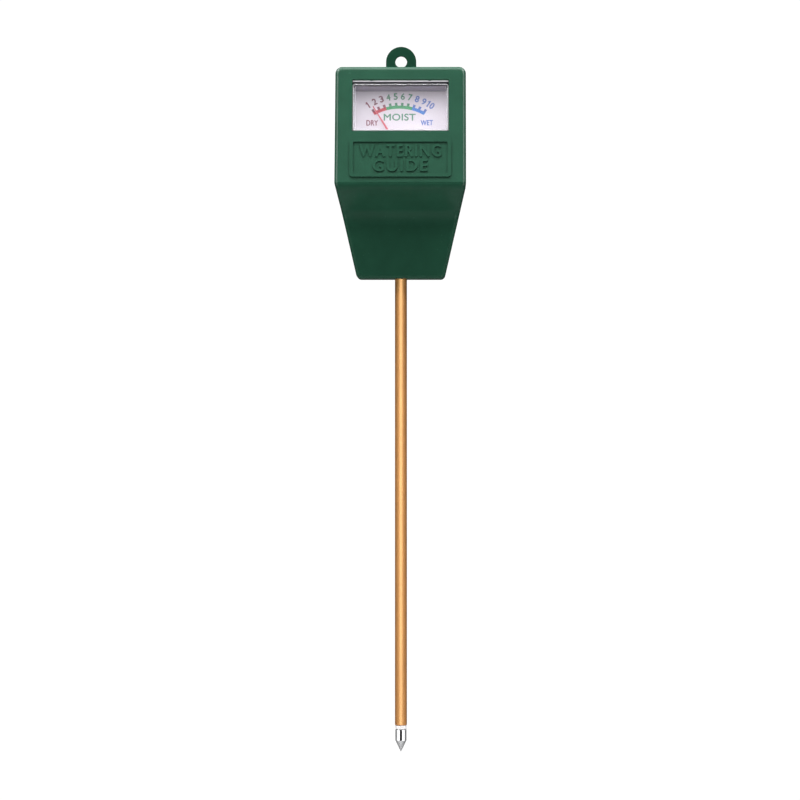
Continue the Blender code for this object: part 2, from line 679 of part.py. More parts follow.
def zero_adjuster():
    """Lever that turns about the bearing screw and holds the outer end of the front hairspring."""
    low, high = -2.9, -2.45
    lever = ring("zero_adjuster", 1.4, 2.6, low, high, about="Y", steps=24, look="brass", frame=ADJUSTER)
    inner, outer = low + 0.02, high - 0.02
    join(lever, box("lever_arm", (-0.6, inner, -6.5), (0.6, outer, -2.0), frame=ADJUSTER))
    join(lever, box("lever_lug", (2.0, inner, -0.4), (3.9, outer, 0.4), frame=ADJUSTER))
    join(lever, box("lever_stud", (3.5, low + 0.1, -0.3), (3.88, -1.75, 0.3), frame=ADJUSTER))


def pointer():
    """Needle, hub and three balance arms, cut from one sheet."""
    place = {"about": "Y", "frame": SWING}
    hub = peg("pointer", 1.6, POINTER_FRONT, POINTER_BACK, look="pointer_red", steps=24, **place)
    low, high = POINTER_FRONT + 0.05, POINTER_BACK - 0.05
    needle = [(-0.45, 0), (0.45, 0), (0.18, POINTER_LENGTH), (-0.18, POINTER_LENGTH)]
    join(hub, slab("needle", [needle], low, high, frame=SWING))
    join(hub, box("arms", (-ARM_LENGTH, low + 0.02, -0.35), (ARM_LENGTH, high - 0.02, 0.35), frame=SWING))
    join(hub, box("tail", (-0.4, low + 0.01, -TAIL_LENGTH), (0.4, high - 0.01, 0), frame=SWING))
    cut(hub, peg("pointer_hole", 0.5, -5, 5, steps=12, **place))
    at = (0, (POINTER_FRONT + POINTER_BACK) / 2, 0)
    weights = {
        "balance_weight_tail": ("Z", 0.9, -TAIL_LENGTH + 0.25, -TAIL_LENGTH + 1.75),
        "balance_weight_left": ("X", 0.95, -ARM_LENGTH + 0.1, -ARM_LENGTH + 1.1),
        "balance_weight_right": ("X", 0.95, ARM_LENGTH - 1.1, ARM_LENGTH - 0.1),
    }
    for name, (about, radius, near, far) in weights.items():
        ring(name, 0.6, radius, near, far, about=about, at=at, steps=12, look="brass", frame=SWING)


def moving_coil():
    """Coil on its light former, with a pivot at each end."""
    front, back = CORE_FRONT - 0.4, CORE_BACK + 0.4
    half = CORE_RADIUS + 0.55
    for name, look, start, thickness, half_width in (
        ("coil_former", "aluminium", 0.0, 0.3, 1.0),
        ("coil_winding", "copper_winding", 0.4, 0.7, 0.9),
    ):
        bore = [(-half - start, front - start), (half + start, back + start)]
        outlines = []
        for spread, radius in ((thickness, 0.6), (0.0, 0.2)):
            (x0, y0), (x1, y1) = bore
            corners = [(x0 - spread, y0 - spread), (x1 + spread, y0 - spread)]
            corners += [(x1 + spread, y1 + spread), (x0 - spread, y1 + spread)]
            outlines.append(rounded([(*corner, radius) for corner in corners], 2))
        slab(name, outlines, -half_width, half_width, "Z", look=look, frame=SWING)
    shaft, collet, foot = 0.35, 0.8, 1.5
    front_pivot = [
        (0, 2.9), (foot, 2.9), (foot, 2.5), (shaft, 2.5), (shaft, -1.75), (collet, -1.75),
        (collet, -2.15), (shaft, -2.15), (shaft, -2.35), (0, -2.75),
    ]
    rear_pivot = [
        (0, 14.9), (shaft, 14.5), (shaft, 13.4), (collet, 13.4), (collet, 13.0), (shaft, 13.0),
        (shaft, 12.6), (foot, 12.6), (foot, 12.2), (0, 12.2),
    ]
    turned("front_pivot", front_pivot, "Y", steps=12, look="steel", frame=SWING)
    turned("rear_pivot", rear_pivot, "Y", steps=12, look="steel", frame=SWING)


# Wiring ------------------------------------------------------------------------------------------


def smooth_route(points, per_span=4):
    """Points along a smooth curve that passes through the given ones."""
    points = [Vector(point) for point in points]
    padded = [2 * points[0] - points[1], *points, 2 * points[-1] - points[-2]]
    route = []
    for a, b, c, d in zip(padded, padded[1:], padded[2:], padded[3:]):
        for i in range(per_span):
            t = i / per_span
            route.append(
                (b * 2 + (c - a) * t + (a * 2 - b * 5 + c * 4 - d) * t**2 + (b * 3 - a - c * 3 + d) * t**3) / 2
            )
    return route + [points[-1]]


def lead_wire(name, look, points):
    curve = bpy.data.curves.new(name, "CURVE")
    curve.dimensions = "3D"
    curve.bevel_depth = 0.6 * MM
    curve.bevel_resolution = 2
    curve.use_fill_caps = True
    route = smooth_route(points)
    spline = curve.splines.new("POLY")
    spline.points.add(len(route) - 1)
    for point, place in zip(spline.points, route):
        point.co = (*(place * MM), 1)
    return put(name, curve, look)


def wiring():
    """One insulated lead from each tag: to the centre rod, and to the tube's solder tag."""
    x, z = TAG_AT
    start = METER.matrix_local @ (Vector((x, BASE_BACK + 1.7, z + 0.7)) * MM) / MM
    to_rod = [start, (11.9, -9.5, 217.0), (10.5, -6.0, 213.0), (5.5, -2.0, 209.3), (0.9, -0.3, 206.4)]
    lead_wire("lead_wire_red", "wire_red", to_rod + [(0, 0, ROD_TOP + 0.4)])
    mirrored = Vector((-start.x, start.y, start.z))
    to_tag = [mirrored, (-12.0, -9.0, 216.5), (-11.3, -4.5, 210.0), (-8.6, -0.6, 203.0)]
    lead_wire("lead_wire_black", "wire_black", to_tag + [(-7.2, 0, 198.4), (-7.0, 0, 195.3)])


# Build -------------------------------------------------------------------------------------------

clear_scene()
MATERIALS = {name: make_look(name) for name in LOOKS}
PARTS = new_collection("soil_moisture_sensor")
CUTTERS = new_collection("cutters", hidden=True)
METER = new_frame("meter_frame")
METER.location = (
    0,
    (PANEL_Y + PIVOT_HEIGHT * math.sin(TILT) + DIAL_DEPTH * math.cos(TILT)) * MM,
    (PANEL_Z + PIVOT_HEIGHT * math.cos(TILT) - DIAL_DEPTH * math.sin(TILT)) * MM,
)
METER.rotation_euler.x = -TILT
ADJUSTER = new_frame("zero_adjuster_axis", METER)
SWING = new_frame("pointer_axis", METER)
SWING.rotation_euler.y = REST_ANGLE
bpy.context.view_layer.update()

front_shell()
rear_cover()
case_screws()
probe()
meter_cover()
meter_base()
dial_plate()
magnet_system()
bridges()
bearing_screws()
meter_screws()
terminals()
hairspring("front_hairspring", -2.15, -1.75)
hairspring("rear_hairspring", 13.0, 13.4)
zero_adjuster()
pointer()
moving_coil()
wiring()
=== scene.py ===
import json
import math

import bmesh
import bpy
from mathutils import Matrix, Vector


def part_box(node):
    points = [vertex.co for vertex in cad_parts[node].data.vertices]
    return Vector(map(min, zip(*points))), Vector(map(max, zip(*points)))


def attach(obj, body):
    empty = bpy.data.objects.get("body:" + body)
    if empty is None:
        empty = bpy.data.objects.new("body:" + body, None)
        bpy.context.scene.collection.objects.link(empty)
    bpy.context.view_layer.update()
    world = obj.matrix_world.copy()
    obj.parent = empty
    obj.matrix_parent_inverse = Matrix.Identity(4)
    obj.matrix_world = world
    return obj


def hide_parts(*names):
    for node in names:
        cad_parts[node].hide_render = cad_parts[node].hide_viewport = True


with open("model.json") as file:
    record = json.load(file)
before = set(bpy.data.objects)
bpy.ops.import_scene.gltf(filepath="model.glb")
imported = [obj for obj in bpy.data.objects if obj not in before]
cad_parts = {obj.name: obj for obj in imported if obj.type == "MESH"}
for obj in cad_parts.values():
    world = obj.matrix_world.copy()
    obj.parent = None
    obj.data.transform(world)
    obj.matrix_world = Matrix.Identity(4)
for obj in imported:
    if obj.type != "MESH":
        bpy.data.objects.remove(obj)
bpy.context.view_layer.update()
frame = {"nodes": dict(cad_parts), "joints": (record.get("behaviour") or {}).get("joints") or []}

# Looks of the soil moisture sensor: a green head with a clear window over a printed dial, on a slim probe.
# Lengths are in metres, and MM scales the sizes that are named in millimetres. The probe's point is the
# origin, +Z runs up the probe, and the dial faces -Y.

MM = 0.001

# Head, in millimetres
SHELL_LOW, SHELL_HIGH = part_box("front_shell")
HEAD_BOTTOM = SHELL_LOW.z / MM
HEAD_TOP = SHELL_HIGH.z / MM
HEAD_HALF_WIDTH = SHELL_HIGH.x / MM
HEAD_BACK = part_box("rear_cover")[1].y / MM
SHELL_BACK = SHELL_HIGH.y / MM
COVER_FRONT = SHELL_BACK + 0.3
HEAD_BOTTOM_HALF_WIDTH = 16.65
SHOULDER = 216.2
TOP_CORNER_RADIUS = 2.6
BOTTOM_CORNER_RADIUS = 1.9
EDGE_RADIUS = 1.5
WALL = 2.0

# Sloping panel, fold and chin
TILT = math.radians(18.7)
PANEL_Y = -26.5
PANEL_Z = 215.3
FOLD_BELOW_PANEL_START = 0.4
FOLD_RADIUS = 2.4
CHIN_Y = -9.0
CHIN_SLOPE = math.radians(29.6)
CHIN_RADIUS = 8.0
HEAD_BOTTOM_FRONT = -8.5

# Heights along the panel, from its start
WINDOW_HALF_WIDTH = 18.3
WINDOW_LOW, WINDOW_HIGH = 22.1, 43.3
RIM_HALF_WIDTH = 19.2
RIM_LOW, RIM_HIGH = 3.3, 18.85
RIM_WIDTH = 1.35
RIM_HEIGHT = 0.5
RELIEF_ROOT = 0.3
LETTER_HEIGHT = 0.4
LETTER_WEIGHT, LETTER_SPACING = 0.19, 1.2
WORDS = {"WATERING": (15.5, 11.4, 16.7), "GUIDE": (10.4, 5.5, 10.6)}

# Meter: its frame has its origin on the pointer's axis at the dial's face, and climbs the panel
PIVOT_HEIGHT = 16.3
DIAL_DEPTH = 7.0
COVER_HALF_WIDTH = 19.15
COVER_WALL = 0.8
COVER_TOP = 30.5
BASE_FRONT = 1.6

# Dial print
PRINT_SHIFT = -0.55
BAND_INNER, BAND_OUTER, TOOTH_TIP = 17.75, 19.05, 20.2
TOOTH_HALF_WIDTH = 0.5
NUMERAL_RADIUS = 21.7
NUMERAL_CENTRE = 1.1
NUMERAL_WIDTH, NUMERAL_HEIGHT = 1.6, 2.75
NUMERAL_WEIGHT = 0.1
NUMERAL_FAN = 1.09
DIGIT_PITCH = 1.5
SCALE_WORD_WEIGHT, SCALE_WORD_SPACING = 0.085, 1.05
SCALE_HALF_ANGLE = math.radians(30.3)
NUMERALS = 10
INK = 0.03

# Loop, screws and probe
LOOP_CENTRE = 264.7
LOOP_RADIUS = 5.82
LOOP_HOLE = 2.25
CASE_SCREWS = ("upper_left", "upper_right", "lower_left", "lower_right")
TUBE_RADIUS, TUBE_BORE = 2.3, 1.8
TIP_RADIUS = 2.1
TIP_SHOULDER = 4.25
TIP_TOP = 8.5
RING_RADIUS = 2.2
ROD_BORE = 0.95

JOINTS = {joint["name"]: joint for joint in frame["joints"]}
METER = Matrix.Translation(JOINTS["pointer_swing"]["pos_m"]) @ Matrix.Rotation(-TILT, 4, "X")


# Materials ---------------------------------------------------------------------------------------


def new_look(name, colour, **constants):
    """A Principled material, its constant sockets set on the shader itself."""
    look = bpy.data.materials.new(name)
    look.use_nodes = True
    shader = look.node_tree.nodes["Principled BSDF"]
    shader.inputs["Base Color"].default_value = (*colour, 1.0)
    look.diffuse_color = (*colour, 1.0)
    for socket, value in constants.items():
        shader.inputs[socket.replace("_", " ")].default_value = value
    return look


def grain(look, scale, detail=3.0, stretch=(1, 1, 1), contrast=0.5):
    """Noise with that many features a metre along each axis of the object, as a number from 0 to 1."""
    nodes, links = look.node_tree.nodes, look.node_tree.links
    place = nodes.new("ShaderNodeTexCoord")
    mapping = nodes.new("ShaderNodeMapping")
    mapping.inputs["Scale"].default_value = stretch
    noise = nodes.new("ShaderNodeTexNoise")
    noise.inputs["Scale"].default_value = scale
    noise.inputs["Detail"].default_value = detail
    noise.inputs["Roughness"].default_value = contrast
    links.new(place.outputs["Object"], mapping.inputs["Vector"])
    links.new(mapping.outputs["Vector"], noise.inputs["Vector"])
    return noise.outputs["Fac"]


def ramp(look, value, *stops):
    """A colour ramp over (position, colour or number) stops."""
    node = look.node_tree.nodes.new("ShaderNodeValToRGB")
    elements = node.color_ramp.elements
    while len(elements) < len(stops):
        elements.new(0.5)
    for element, (position, colour) in zip(elements, stops):
        element.position = position
        element.color = (*colour, 1.0) if isinstance(colour, tuple) else (colour, colour, colour, 1.0)
    look.node_tree.links.new(value, node.inputs["Fac"])
    return node.outputs["Color"]


def drive(look, socket, value):
    look.node_tree.links.new(value, look.node_tree.nodes["Principled BSDF"].inputs[socket])


def bump(look, height, depth, strength=1.0):
    """Adds surface relief of that depth in metres under whatever relief is there."""
    nodes, links = look.node_tree.nodes, look.node_tree.links
    node = nodes.new("ShaderNodeBump")
    node.inputs["Strength"].default_value = strength
    node.inputs["Distance"].default_value = depth
    links.new(height, node.inputs["Height"])
    normal = nodes["Principled BSDF"].inputs["Normal"]
    if normal.is_linked:
        links.new(normal.links[0].from_socket, node.inputs["Normal"])
    links.new(node.outputs["Normal"], normal)


def shade(colour, factor):
    return tuple(min(1.0, channel * factor) for channel in colour)


def varied_look(name, colour, roughness, spread=0.08, scale=90.0, relief=2e-5, fine=4000.0, **constants):
    """A surface whose colour and gloss drift a little, over a fine moulded or cast grain."""
    look = new_look(name, colour, **constants)
    drift = grain(look, scale)
    dark, light = shade(colour, 1 - spread), shade(colour, 1 + spread)
    smooth, rough = roughness * 0.85, roughness * 1.15
    drive(look, "Base Color", ramp(look, drift, (0.3, dark), (0.7, light)))
    drive(look, "Roughness", ramp(look, grain(look, scale * 3), (0.25, smooth), (0.75, rough)))
    bump(look, grain(look, fine, 2.0), relief)
    return look


def drawn_look(name, colour, roughness, stretch, scratch=1.2e-5, spread=0.06, **constants):
    """Metal with fine lines along one direction: the axis whose stretch is small."""
    look = new_look(name, colour, Metallic=1.0, **constants)
    lines = grain(look, 9000.0, 2.0, stretch)
    tone = grain(look, 1500.0, 3.0, stretch)
    dark, light = shade(colour, 1 - spread), shade(colour, 1 + spread)
    drive(look, "Base Color", ramp(look, tone, (0.3, dark), (0.7, light)))
    drive(look, "Roughness", ramp(look, tone, (0.3, roughness * 0.88), (0.7, roughness * 1.12)))
    bump(look, lines, scratch)
    return look


def green_plastic(name, shine, roughness, tone=1.0):
    """Moulded green polystyrene: faint flow mottling, a satin grain and a few rubbed specks.

    A tone under 1 is a darker green.
    """
    colour = (0.0138 * tone, 0.0585 * tone, 0.0345 * tone)
    look = new_look(name, colour, Specular_IOR_Level=shine, IOR=1.5)
    nodes, links = look.node_tree.nodes, look.node_tree.links
    mottled = ramp(look, grain(look, 110.0, 4.0), (0.3, shade(colour, 0.93)), (0.7, shade(colour, 1.07)))
    specks = ramp(look, grain(look, 1300.0, 1.0), (0.77, 0.0), (0.80, 0.6))
    mix = nodes.new("ShaderNodeMix")
    mix.data_type = "RGBA"
    links.new(specks, mix.inputs["Factor"])
    links.new(mottled, mix.inputs["A"])
    mix.inputs["B"].default_value = (0.04, 0.11, 0.075, 1.0)
    drive(look, "Base Color", mix.outputs["Result"])
    smooth, rough = roughness * 0.85, roughness * 1.15
    drive(look, "Roughness", ramp(look, grain(look, 260.0, 4.0), (0.3, smooth), (0.7, rough)))
    bump(look, grain(look, 5200.0, 2.0), 1.6e-5, 0.6)
    bump(look, grain(look, 420.0, 2.0), 1.2e-5, 0.4)
    return look


def clear_plastic():
    """Polished clear polystyrene with faint wiping marks."""
    look = new_look("clear_plastic", (0.975, 0.98, 0.985), Transmission_Weight=1.0, IOR=1.49)
    marks = grain(look, 300.0, 4.0, (1, 1, 0.25))
    drive(look, "Roughness", ramp(look, marks, (0.45, 0.015), (0.8, 0.07)))
    bump(look, grain(look, 900.0, 1.0), 2.0e-6, 0.3)
    return look


def frosted_edge(name, colour, painted_glow=0.0):
    """Opaque edges of the clear moulding, one copy for each level of painted light and shade, with an
    optional faint glow of painted light.
    """
    look = varied_look(name, colour, 0.4, 0.04, 900.0, 6e-6, 5000.0, Emission_Color=(1, 1, 1, 1))
    look.node_tree.nodes["Principled BSDF"].inputs["Emission Strength"].default_value = painted_glow
    return look


def dial_white():
    """Lilac-white screen-printed face of the dial, with a paint's fine orange peel."""
    return varied_look("dial_white", (0.52, 0.475, 0.53), 0.42, 0.02, 60.0, 6e-6, 2600.0)


def ink_look(name, colour):
    """Screen-printed ink, a little uneven in density."""
    return varied_look(name, colour, 0.4, 0.10, 1400.0, 4e-6, 9000.0)


def copper_tube():
    """Satin copper drawn lengthways, with soft clouding from handling."""
    colour = (0.98, 0.42, 0.09)
    look = new_look(
        "copper_tube", colour, Metallic=1.0, Anisotropic=0.3, Specular_Tint=(0.75, 0.36, 0.1, 1.0),
        Coat_Weight=0.8, Coat_IOR=1.9, Coat_Roughness=0.5,
    )
    nodes, links = look.node_tree.nodes, look.node_tree.links
    around = nodes.new("ShaderNodeTangent")
    around.direction_type = "RADIAL"
    around.axis = "Z"
    links.new(around.outputs["Tangent"], nodes["Principled BSDF"].inputs["Tangent"])
    lines = grain(look, 5200.0, 2.0, (1, 1, 0.012))
    clouds = grain(look, 130.0, 4.0, (1, 1, 0.35))
    drive(look, "Base Color", ramp(look, clouds, (0.3, shade(colour, 0.95)), (0.7, shade(colour, 1.04))))
    drive(look, "Roughness", ramp(look, lines, (0.3, 0.5), (0.7, 0.56)))
    bump(look, lines, 4e-6, 0.4)
    return look


def polished_tip():
    """Bright nickel plate over turned steel: fine rings left by the tool."""
    look = new_look("polished_tip", (0.86, 0.87, 0.88), Metallic=1.0)
    rings = grain(look, 9000.0, 1.0, (0.02, 0.02, 1))
    drive(look, "Base Color", ramp(look, rings, (0.3, (0.83, 0.84, 0.85)), (0.7, (0.9, 0.905, 0.91))))
    drive(look, "Roughness", ramp(look, rings, (0.3, 0.05), (0.7, 0.11)))
    bump(look, rings, 2e-6, 0.4)
    return look


def ring_plastic():
    """Milky insulating ring."""
    return varied_look("ring_plastic", (0.82, 0.8, 0.805), 0.35, 0.02, 700.0, 3e-6, 5000.0)


def copper_winding():
    """Enamelled wire laid side by side round the coil."""
    colour = (0.66, 0.25, 0.10)
    look = new_look("copper_winding", colour, Metallic=1.0, Coat_Weight=0.6, Coat_Roughness=0.15)
    nodes, links = look.node_tree.nodes, look.node_tree.links
    place = nodes.new("ShaderNodeTexCoord")
    wires = nodes.new("ShaderNodeTexWave")
    wires.bands_direction = "Z"
    wires.inputs["Scale"].default_value = 1600.0
    wires.inputs["Distortion"].default_value = 0.4
    links.new(place.outputs["Object"], wires.inputs["Vector"])
    # The gaps between turns are darkened as painted shade and the crests lightened as painted highlight
    gap, crest = shade(colour, 0.55), shade(colour, 1.15)
    drive(look, "Base Color", ramp(look, wires.outputs["Fac"], (0.1, gap), (0.6, crest)))
    drive(look, "Roughness", ramp(look, grain(look, 3000.0), (0.3, 0.28), (0.7, 0.42)))
    bump(look, wires.outputs["Fac"], 4e-5)
    return look


def resistor_body():
    """Tan lacquer with four coloured rings, on plain tinned leads."""
    low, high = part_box("shunt_resistor")
    look = new_look("resistor_lacquer", (0.62, 0.48, 0.30), Coat_Weight=0.4, Coat_Roughness=0.2)
    nodes, links = look.node_tree.nodes, look.node_tree.links
    place = nodes.new("ShaderNodeTexCoord")
    split = nodes.new("ShaderNodeSeparateXYZ")
    along = nodes.new("ShaderNodeMapRange")
    along.inputs["From Min"].default_value = low.x
    along.inputs["From Max"].default_value = high.x
    links.new(place.outputs["Object"], split.inputs["Vector"])
    links.new(split.outputs["X"], along.inputs["Value"])
    tin, tan = (0.6, 0.6, 0.62), (0.62, 0.48, 0.30)
    rings = ramp(
        look, along.outputs["Result"],
        (0.0, tin), (0.35, tan), (0.39, (0.5, 0.03, 0.02)), (0.42, tan), (0.45, (0.28, 0.05, 0.4)),
        (0.48, tan), (0.51, (0.22, 0.1, 0.04)), (0.54, tan), (0.6, (0.62, 0.45, 0.12)), (0.63, tan),
        (0.65, tin),
    )
    nodes[-1].color_ramp.interpolation = "CONSTANT"
    drive(look, "Base Color", rings)
    drive(look, "Roughness", ramp(look, grain(look, 900.0), (0.3, 0.3), (0.7, 0.42)))
    bump(look, grain(look, 2500.0), 1e-5)
    return look


def make_looks():
    ring_marks = (0.05, 0.05, 1)
    return {
        "green": green_plastic("green_plastic", 0.085, 0.235),
        "rubbed": green_plastic("rubbed_green_plastic", 0.5, 0.42),
        # A darker copy of the green: painted shade under the raised frame and letters
        "relief_shade": green_plastic("relief_shade_green_plastic", 0.05, 0.3, tone=0.3),
        "clear": clear_plastic(),
        # Copies of one edge colour for the clear cover: a lit copy with a faint painted glow, a half-shaded
        # copy, and darker copies that are painted shade and painted shadow
        "painted_lit_edge": frosted_edge("painted_lit_edge", (0.72, 0.72, 0.75), 0.15),
        "painted_half_shade_edge": frosted_edge("painted_half_shade_edge", (0.6, 0.58, 0.61)),
        "painted_shade_edge": frosted_edge("painted_shade_edge", (0.16, 0.142, 0.185)),
        "painted_shadow_edge": frosted_edge("painted_shadow_edge", (0.04, 0.034, 0.045)),
        "dial": dial_white(),
        "red_ink": ink_look("red_ink", (0.38, 0.03, 0.05)),
        "red_mark_ink": ink_look("red_mark_ink", (0.17, 0.045, 0.075)),
        "green_ink": ink_look("green_ink", (0.036, 0.25, 0.10)),
        "green_mark_ink": ink_look("green_mark_ink", (0.055, 0.18, 0.11)),
        "blue_ink": ink_look("blue_ink", (0.03, 0.15, 0.46)),
        "blue_mark_ink": ink_look("blue_mark_ink", (0.07, 0.13, 0.38)),
        "chassis": varied_look("black_plastic", (0.028, 0.028, 0.03), 0.5),
        "screw_steel": drawn_look("zinc_plated_steel", (0.62, 0.62, 0.60), 0.3, ring_marks),
        "steel": drawn_look("plain_steel", (0.56, 0.56, 0.58), 0.28, (1, 1, 0.02)),
        "iron": varied_look("soft_iron", (0.34, 0.34, 0.36), 0.45, 0.12, 500.0, 1e-5, 6000.0, Metallic=1.0),
        "magnet": varied_look(
            "sintered_magnet", (0.17, 0.17, 0.19), 0.6, 0.2, 1200.0, 4e-5, 5000.0, Metallic=0.8
        ),
        "aluminium": drawn_look("aluminium", (0.80, 0.80, 0.82), 0.35, (1, 1, 0.05)),
        "brass": drawn_look("rolled_brass", (0.76, 0.56, 0.24), 0.3, (0.04, 1, 1)),
        "spring_bronze": varied_look(
            "spring_bronze", (0.70, 0.45, 0.18), 0.28, 0.1, 2500.0, 4e-6, Metallic=1.0
        ),
        "copper": copper_tube(),
        "tip": polished_tip(),
        "ring": ring_plastic(),
        "liner": varied_look("liner_plastic", (0.80, 0.79, 0.74), 0.4),
        "pointer": varied_look("pointer_paint", (0.46, 0.07, 0.10), 0.38, 0.07, 1500.0, 4e-6, 9000.0),
        "winding": copper_winding(),
        "resistor": resistor_body(),
        "red_wire": varied_look("red_wire_vinyl", (0.55, 0.025, 0.02), 0.38, 0.08, 600.0),
        "black_wire": varied_look("black_wire_vinyl", (0.018, 0.018, 0.02), 0.38, 0.2, 600.0),
    }


# Modelling tools ---------------------------------------------------------------------------------


def put(name, data, place=None):
    obj = bpy.data.objects.new(name, data)
    bpy.context.scene.collection.objects.link(obj)
    if place is not None:
        obj.matrix_world = place
    return obj


def box(name, low, high, place=None):
    """A cutter or a blank from its corners in millimetres."""
    mesh = bpy.data.meshes.new(name)
    shape = bmesh.new()
    bmesh.ops.create_cube(shape, size=1.0)
    low, high = Vector(low) * MM, Vector(high) * MM
    scale = Matrix.Diagonal((*(high - low), 1.0))
    bmesh.ops.transform(shape, matrix=Matrix.Translation((low + high) / 2) @ scale, verts=shape.verts)
    shape.to_mesh(mesh)
    shape.free()
    return put(name, mesh, place)


TURNED_ABOUT = {"Z": Matrix.Identity(4), "Y": Matrix.Rotation(-math.pi / 2, 4, "X")}


def turned(name, outline, about="Z", at=(0, 0, 0), steps=64, closed=False, place=None):
    """Turns an outline of (radius, height) points, given from its top down its outer side."""
    mesh = bpy.data.meshes.new(name)
    points = [(radius * MM, 0, height * MM) for radius, height in outline]
    edges = [(i, i + 1) for i in range(len(points) - 1)]
    if closed:
        edges.append((len(points) - 1, 0))
    mesh.from_pydata(points, edges, [])
    local = Matrix.Translation(Vector(at) * MM) @ TURNED_ABOUT[about]
    obj = put(name, mesh, place @ local if place is not None else local)
    screw = obj.modifiers.new("Turn", "SCREW")
    screw.steps = screw.render_steps = steps
    screw.use_merge_vertices = True
    screw.merge_threshold = 1e-6
    return obj


def peg(name, radius, low, high, **where):
    return turned(name, [(0, high), (radius, high), (radius, low), (0, low)], **where)


def rounded(corners, steps=8):
    """Outline points from (a, b, radius) corners, each corner made an arc of its radius."""
    points = []
    for before, corner, after in zip(corners[-1:] + corners[:-1], corners, corners[1:] + corners[:1]):
        here, radius = Vector(corner[:2]), corner[2]
        if radius <= 0:
            points.append(here)
            continue
        back = (Vector(before[:2]) - here).normalized()
        ahead = (Vector(after[:2]) - here).normalized()
        half = back.angle(ahead) / 2
        centre = here + (back + ahead).normalized() * (radius / math.sin(half))
        start = here + back * (radius / math.tan(half)) - centre
        end = here + ahead * (radius / math.tan(half)) - centre
        points += [centre + start.slerp(end, i / steps).normalized() * radius for i in range(steps + 1)]
    return points


def inset(corners, distance):
    """The corners of an anticlockwise outline, moved inwards by one distance."""
    moved = []
    for before, corner, after in zip(corners[-1:] + corners[:-1], corners, corners[1:] + corners[:1]):
        here = Vector(corner[:2])
        ahead = (Vector(after[:2]) - here).normalized()
        behind = (here - Vector(before[:2])).normalized()
        turn = behind.x * ahead.y - behind.y * ahead.x
        normal = Vector((-behind.y, behind.x)) + Vector((-ahead.y, ahead.x))
        here += normal * (distance / (1 + behind.dot(ahead)))
        radius = corner[2] - distance if turn > 0 else corner[2] + distance
        moved.append((here.x, here.y, max(0.0, radius) if corner[2] else 0.0))
    return moved


def rectangle(half_width, low, high, radius=0.0):
    corners = [(-half_width, low), (half_width, low), (half_width, high), (-half_width, high)]
    return rounded([(*corner, radius) for corner in corners])


SLAB_TURN = {
    "X": Matrix(((0, 0, 1, 0), (1, 0, 0, 0), (0, 1, 0, 0), (0, 0, 0, 1))),
    "Y": Matrix(((1, 0, 0, 0), (0, 0, -1, 0), (0, 1, 0, 0), (0, 0, 0, 1))),
    "Z": Matrix.Identity(4),
}


def mesh_of_curve(name, curve):
    """The solid of a filled and extruded curve, welded shut."""
    guide = put(name + "_guide", curve)
    graph = bpy.context.evaluated_depsgraph_get()
    mesh = bpy.data.meshes.new_from_object(guide.evaluated_get(graph))
    bpy.data.objects.remove(guide)
    shape = bmesh.new()
    shape.from_mesh(mesh)
    bmesh.ops.remove_doubles(shape, verts=shape.verts, dist=1e-7)
    bmesh.ops.dissolve_limit(shape, angle_limit=math.radians(0.5), verts=shape.verts, edges=shape.edges)
    bmesh.ops.recalc_face_normals(shape, faces=shape.faces)
    shape.to_mesh(mesh)
    shape.free()
    mesh.name = name
    mesh.materials.clear()
    return mesh


def slab(name, outlines, low, high, along="Y", place=None):
    """Flat outlines, the first outer and the rest holes, made solid from low to high along an axis."""
    curve = bpy.data.curves.new(name, "CURVE")
    curve.dimensions = "2D"
    curve.fill_mode = "BOTH"
    curve.extrude = (high - low) / 2 * MM
    for outline in outlines:
        spline = curve.splines.new("POLY")
        spline.points.add(len(outline) - 1)
        for point, (a, b) in zip(spline.points, outline):
            point.co = (a * MM, b * MM, 0, 1)
        spline.use_cyclic_u = True
    mesh = mesh_of_curve(name, curve)
    middle = (low + high) / 2 * MM
    offset = {"X": (middle, 0, 0), "Y": (0, middle, 0), "Z": (0, 0, middle)}[along]
    mesh.transform(Matrix.Translation(offset) @ SLAB_TURN[along])
    return put(name, mesh, place)


def lettering(name, text, size, front, back, at=(0, 0), weight=0.0, spacing=1.0, place=METER):
    """Words as a solid that fits a (width, height) box centred at a place on the panel or the dial."""
    curve = bpy.data.curves.new(name, "FONT")
    curve.body = text
    curve.size = 10 * MM
    curve.space_character = spacing
    curve.extrude = (back - front) / 2 * MM
    curve.resolution_u = 6
    mesh = mesh_of_curve(name, curve)
    low = [min(vertex.co[i] for vertex in mesh.vertices) for i in range(2)]
    high = [max(vertex.co[i] for vertex in mesh.vertices) for i in range(2)]
    middle = Vector(((low[0] + high[0]) / 2, (low[1] + high[1]) / 2, 0))
    width, height = ((size[i] - 2 * weight) * MM / (high[i] - low[i]) for i in range(2))
    fit = Matrix.Diagonal((width, height, 1, 1)) @ Matrix.Translation(-middle)
    stand = Matrix.Translation((at[0] * MM, (front + back) / 2 * MM, at[1] * MM))
    mesh.transform(stand @ Matrix.Rotation(math.pi / 2, 4, "X") @ fit)
    copies = []
    for x, z in ((-weight, 0), (weight, 0), (0, -weight), (0, weight)):
        copies.append(put(name + "_copy", mesh.copy(), place @ Matrix.Translation((x * MM, 0, z * MM))))
    return join(copies.pop(), *copies)


def bevel(obj, width, segments=4, angle=35, clamp=True):
    modifier = obj.modifiers.new("Bevel", "BEVEL")
    modifier.use_clamp_overlap = clamp
    modifier.width = width * MM
    modifier.segments = segments
    modifier.limit_method = "ANGLE"
    modifier.angle_limit = math.radians(angle)
    modifier.harden_normals = False
    return obj


def fix(obj):
    """Applies every modifier."""
    bpy.context.view_layer.update()
    graph = bpy.context.evaluated_depsgraph_get()
    mesh = bpy.data.meshes.new_from_object(obj.evaluated_get(graph))
    mesh.name = obj.name
    obj.modifiers.clear()
    obj.data = mesh
    return obj


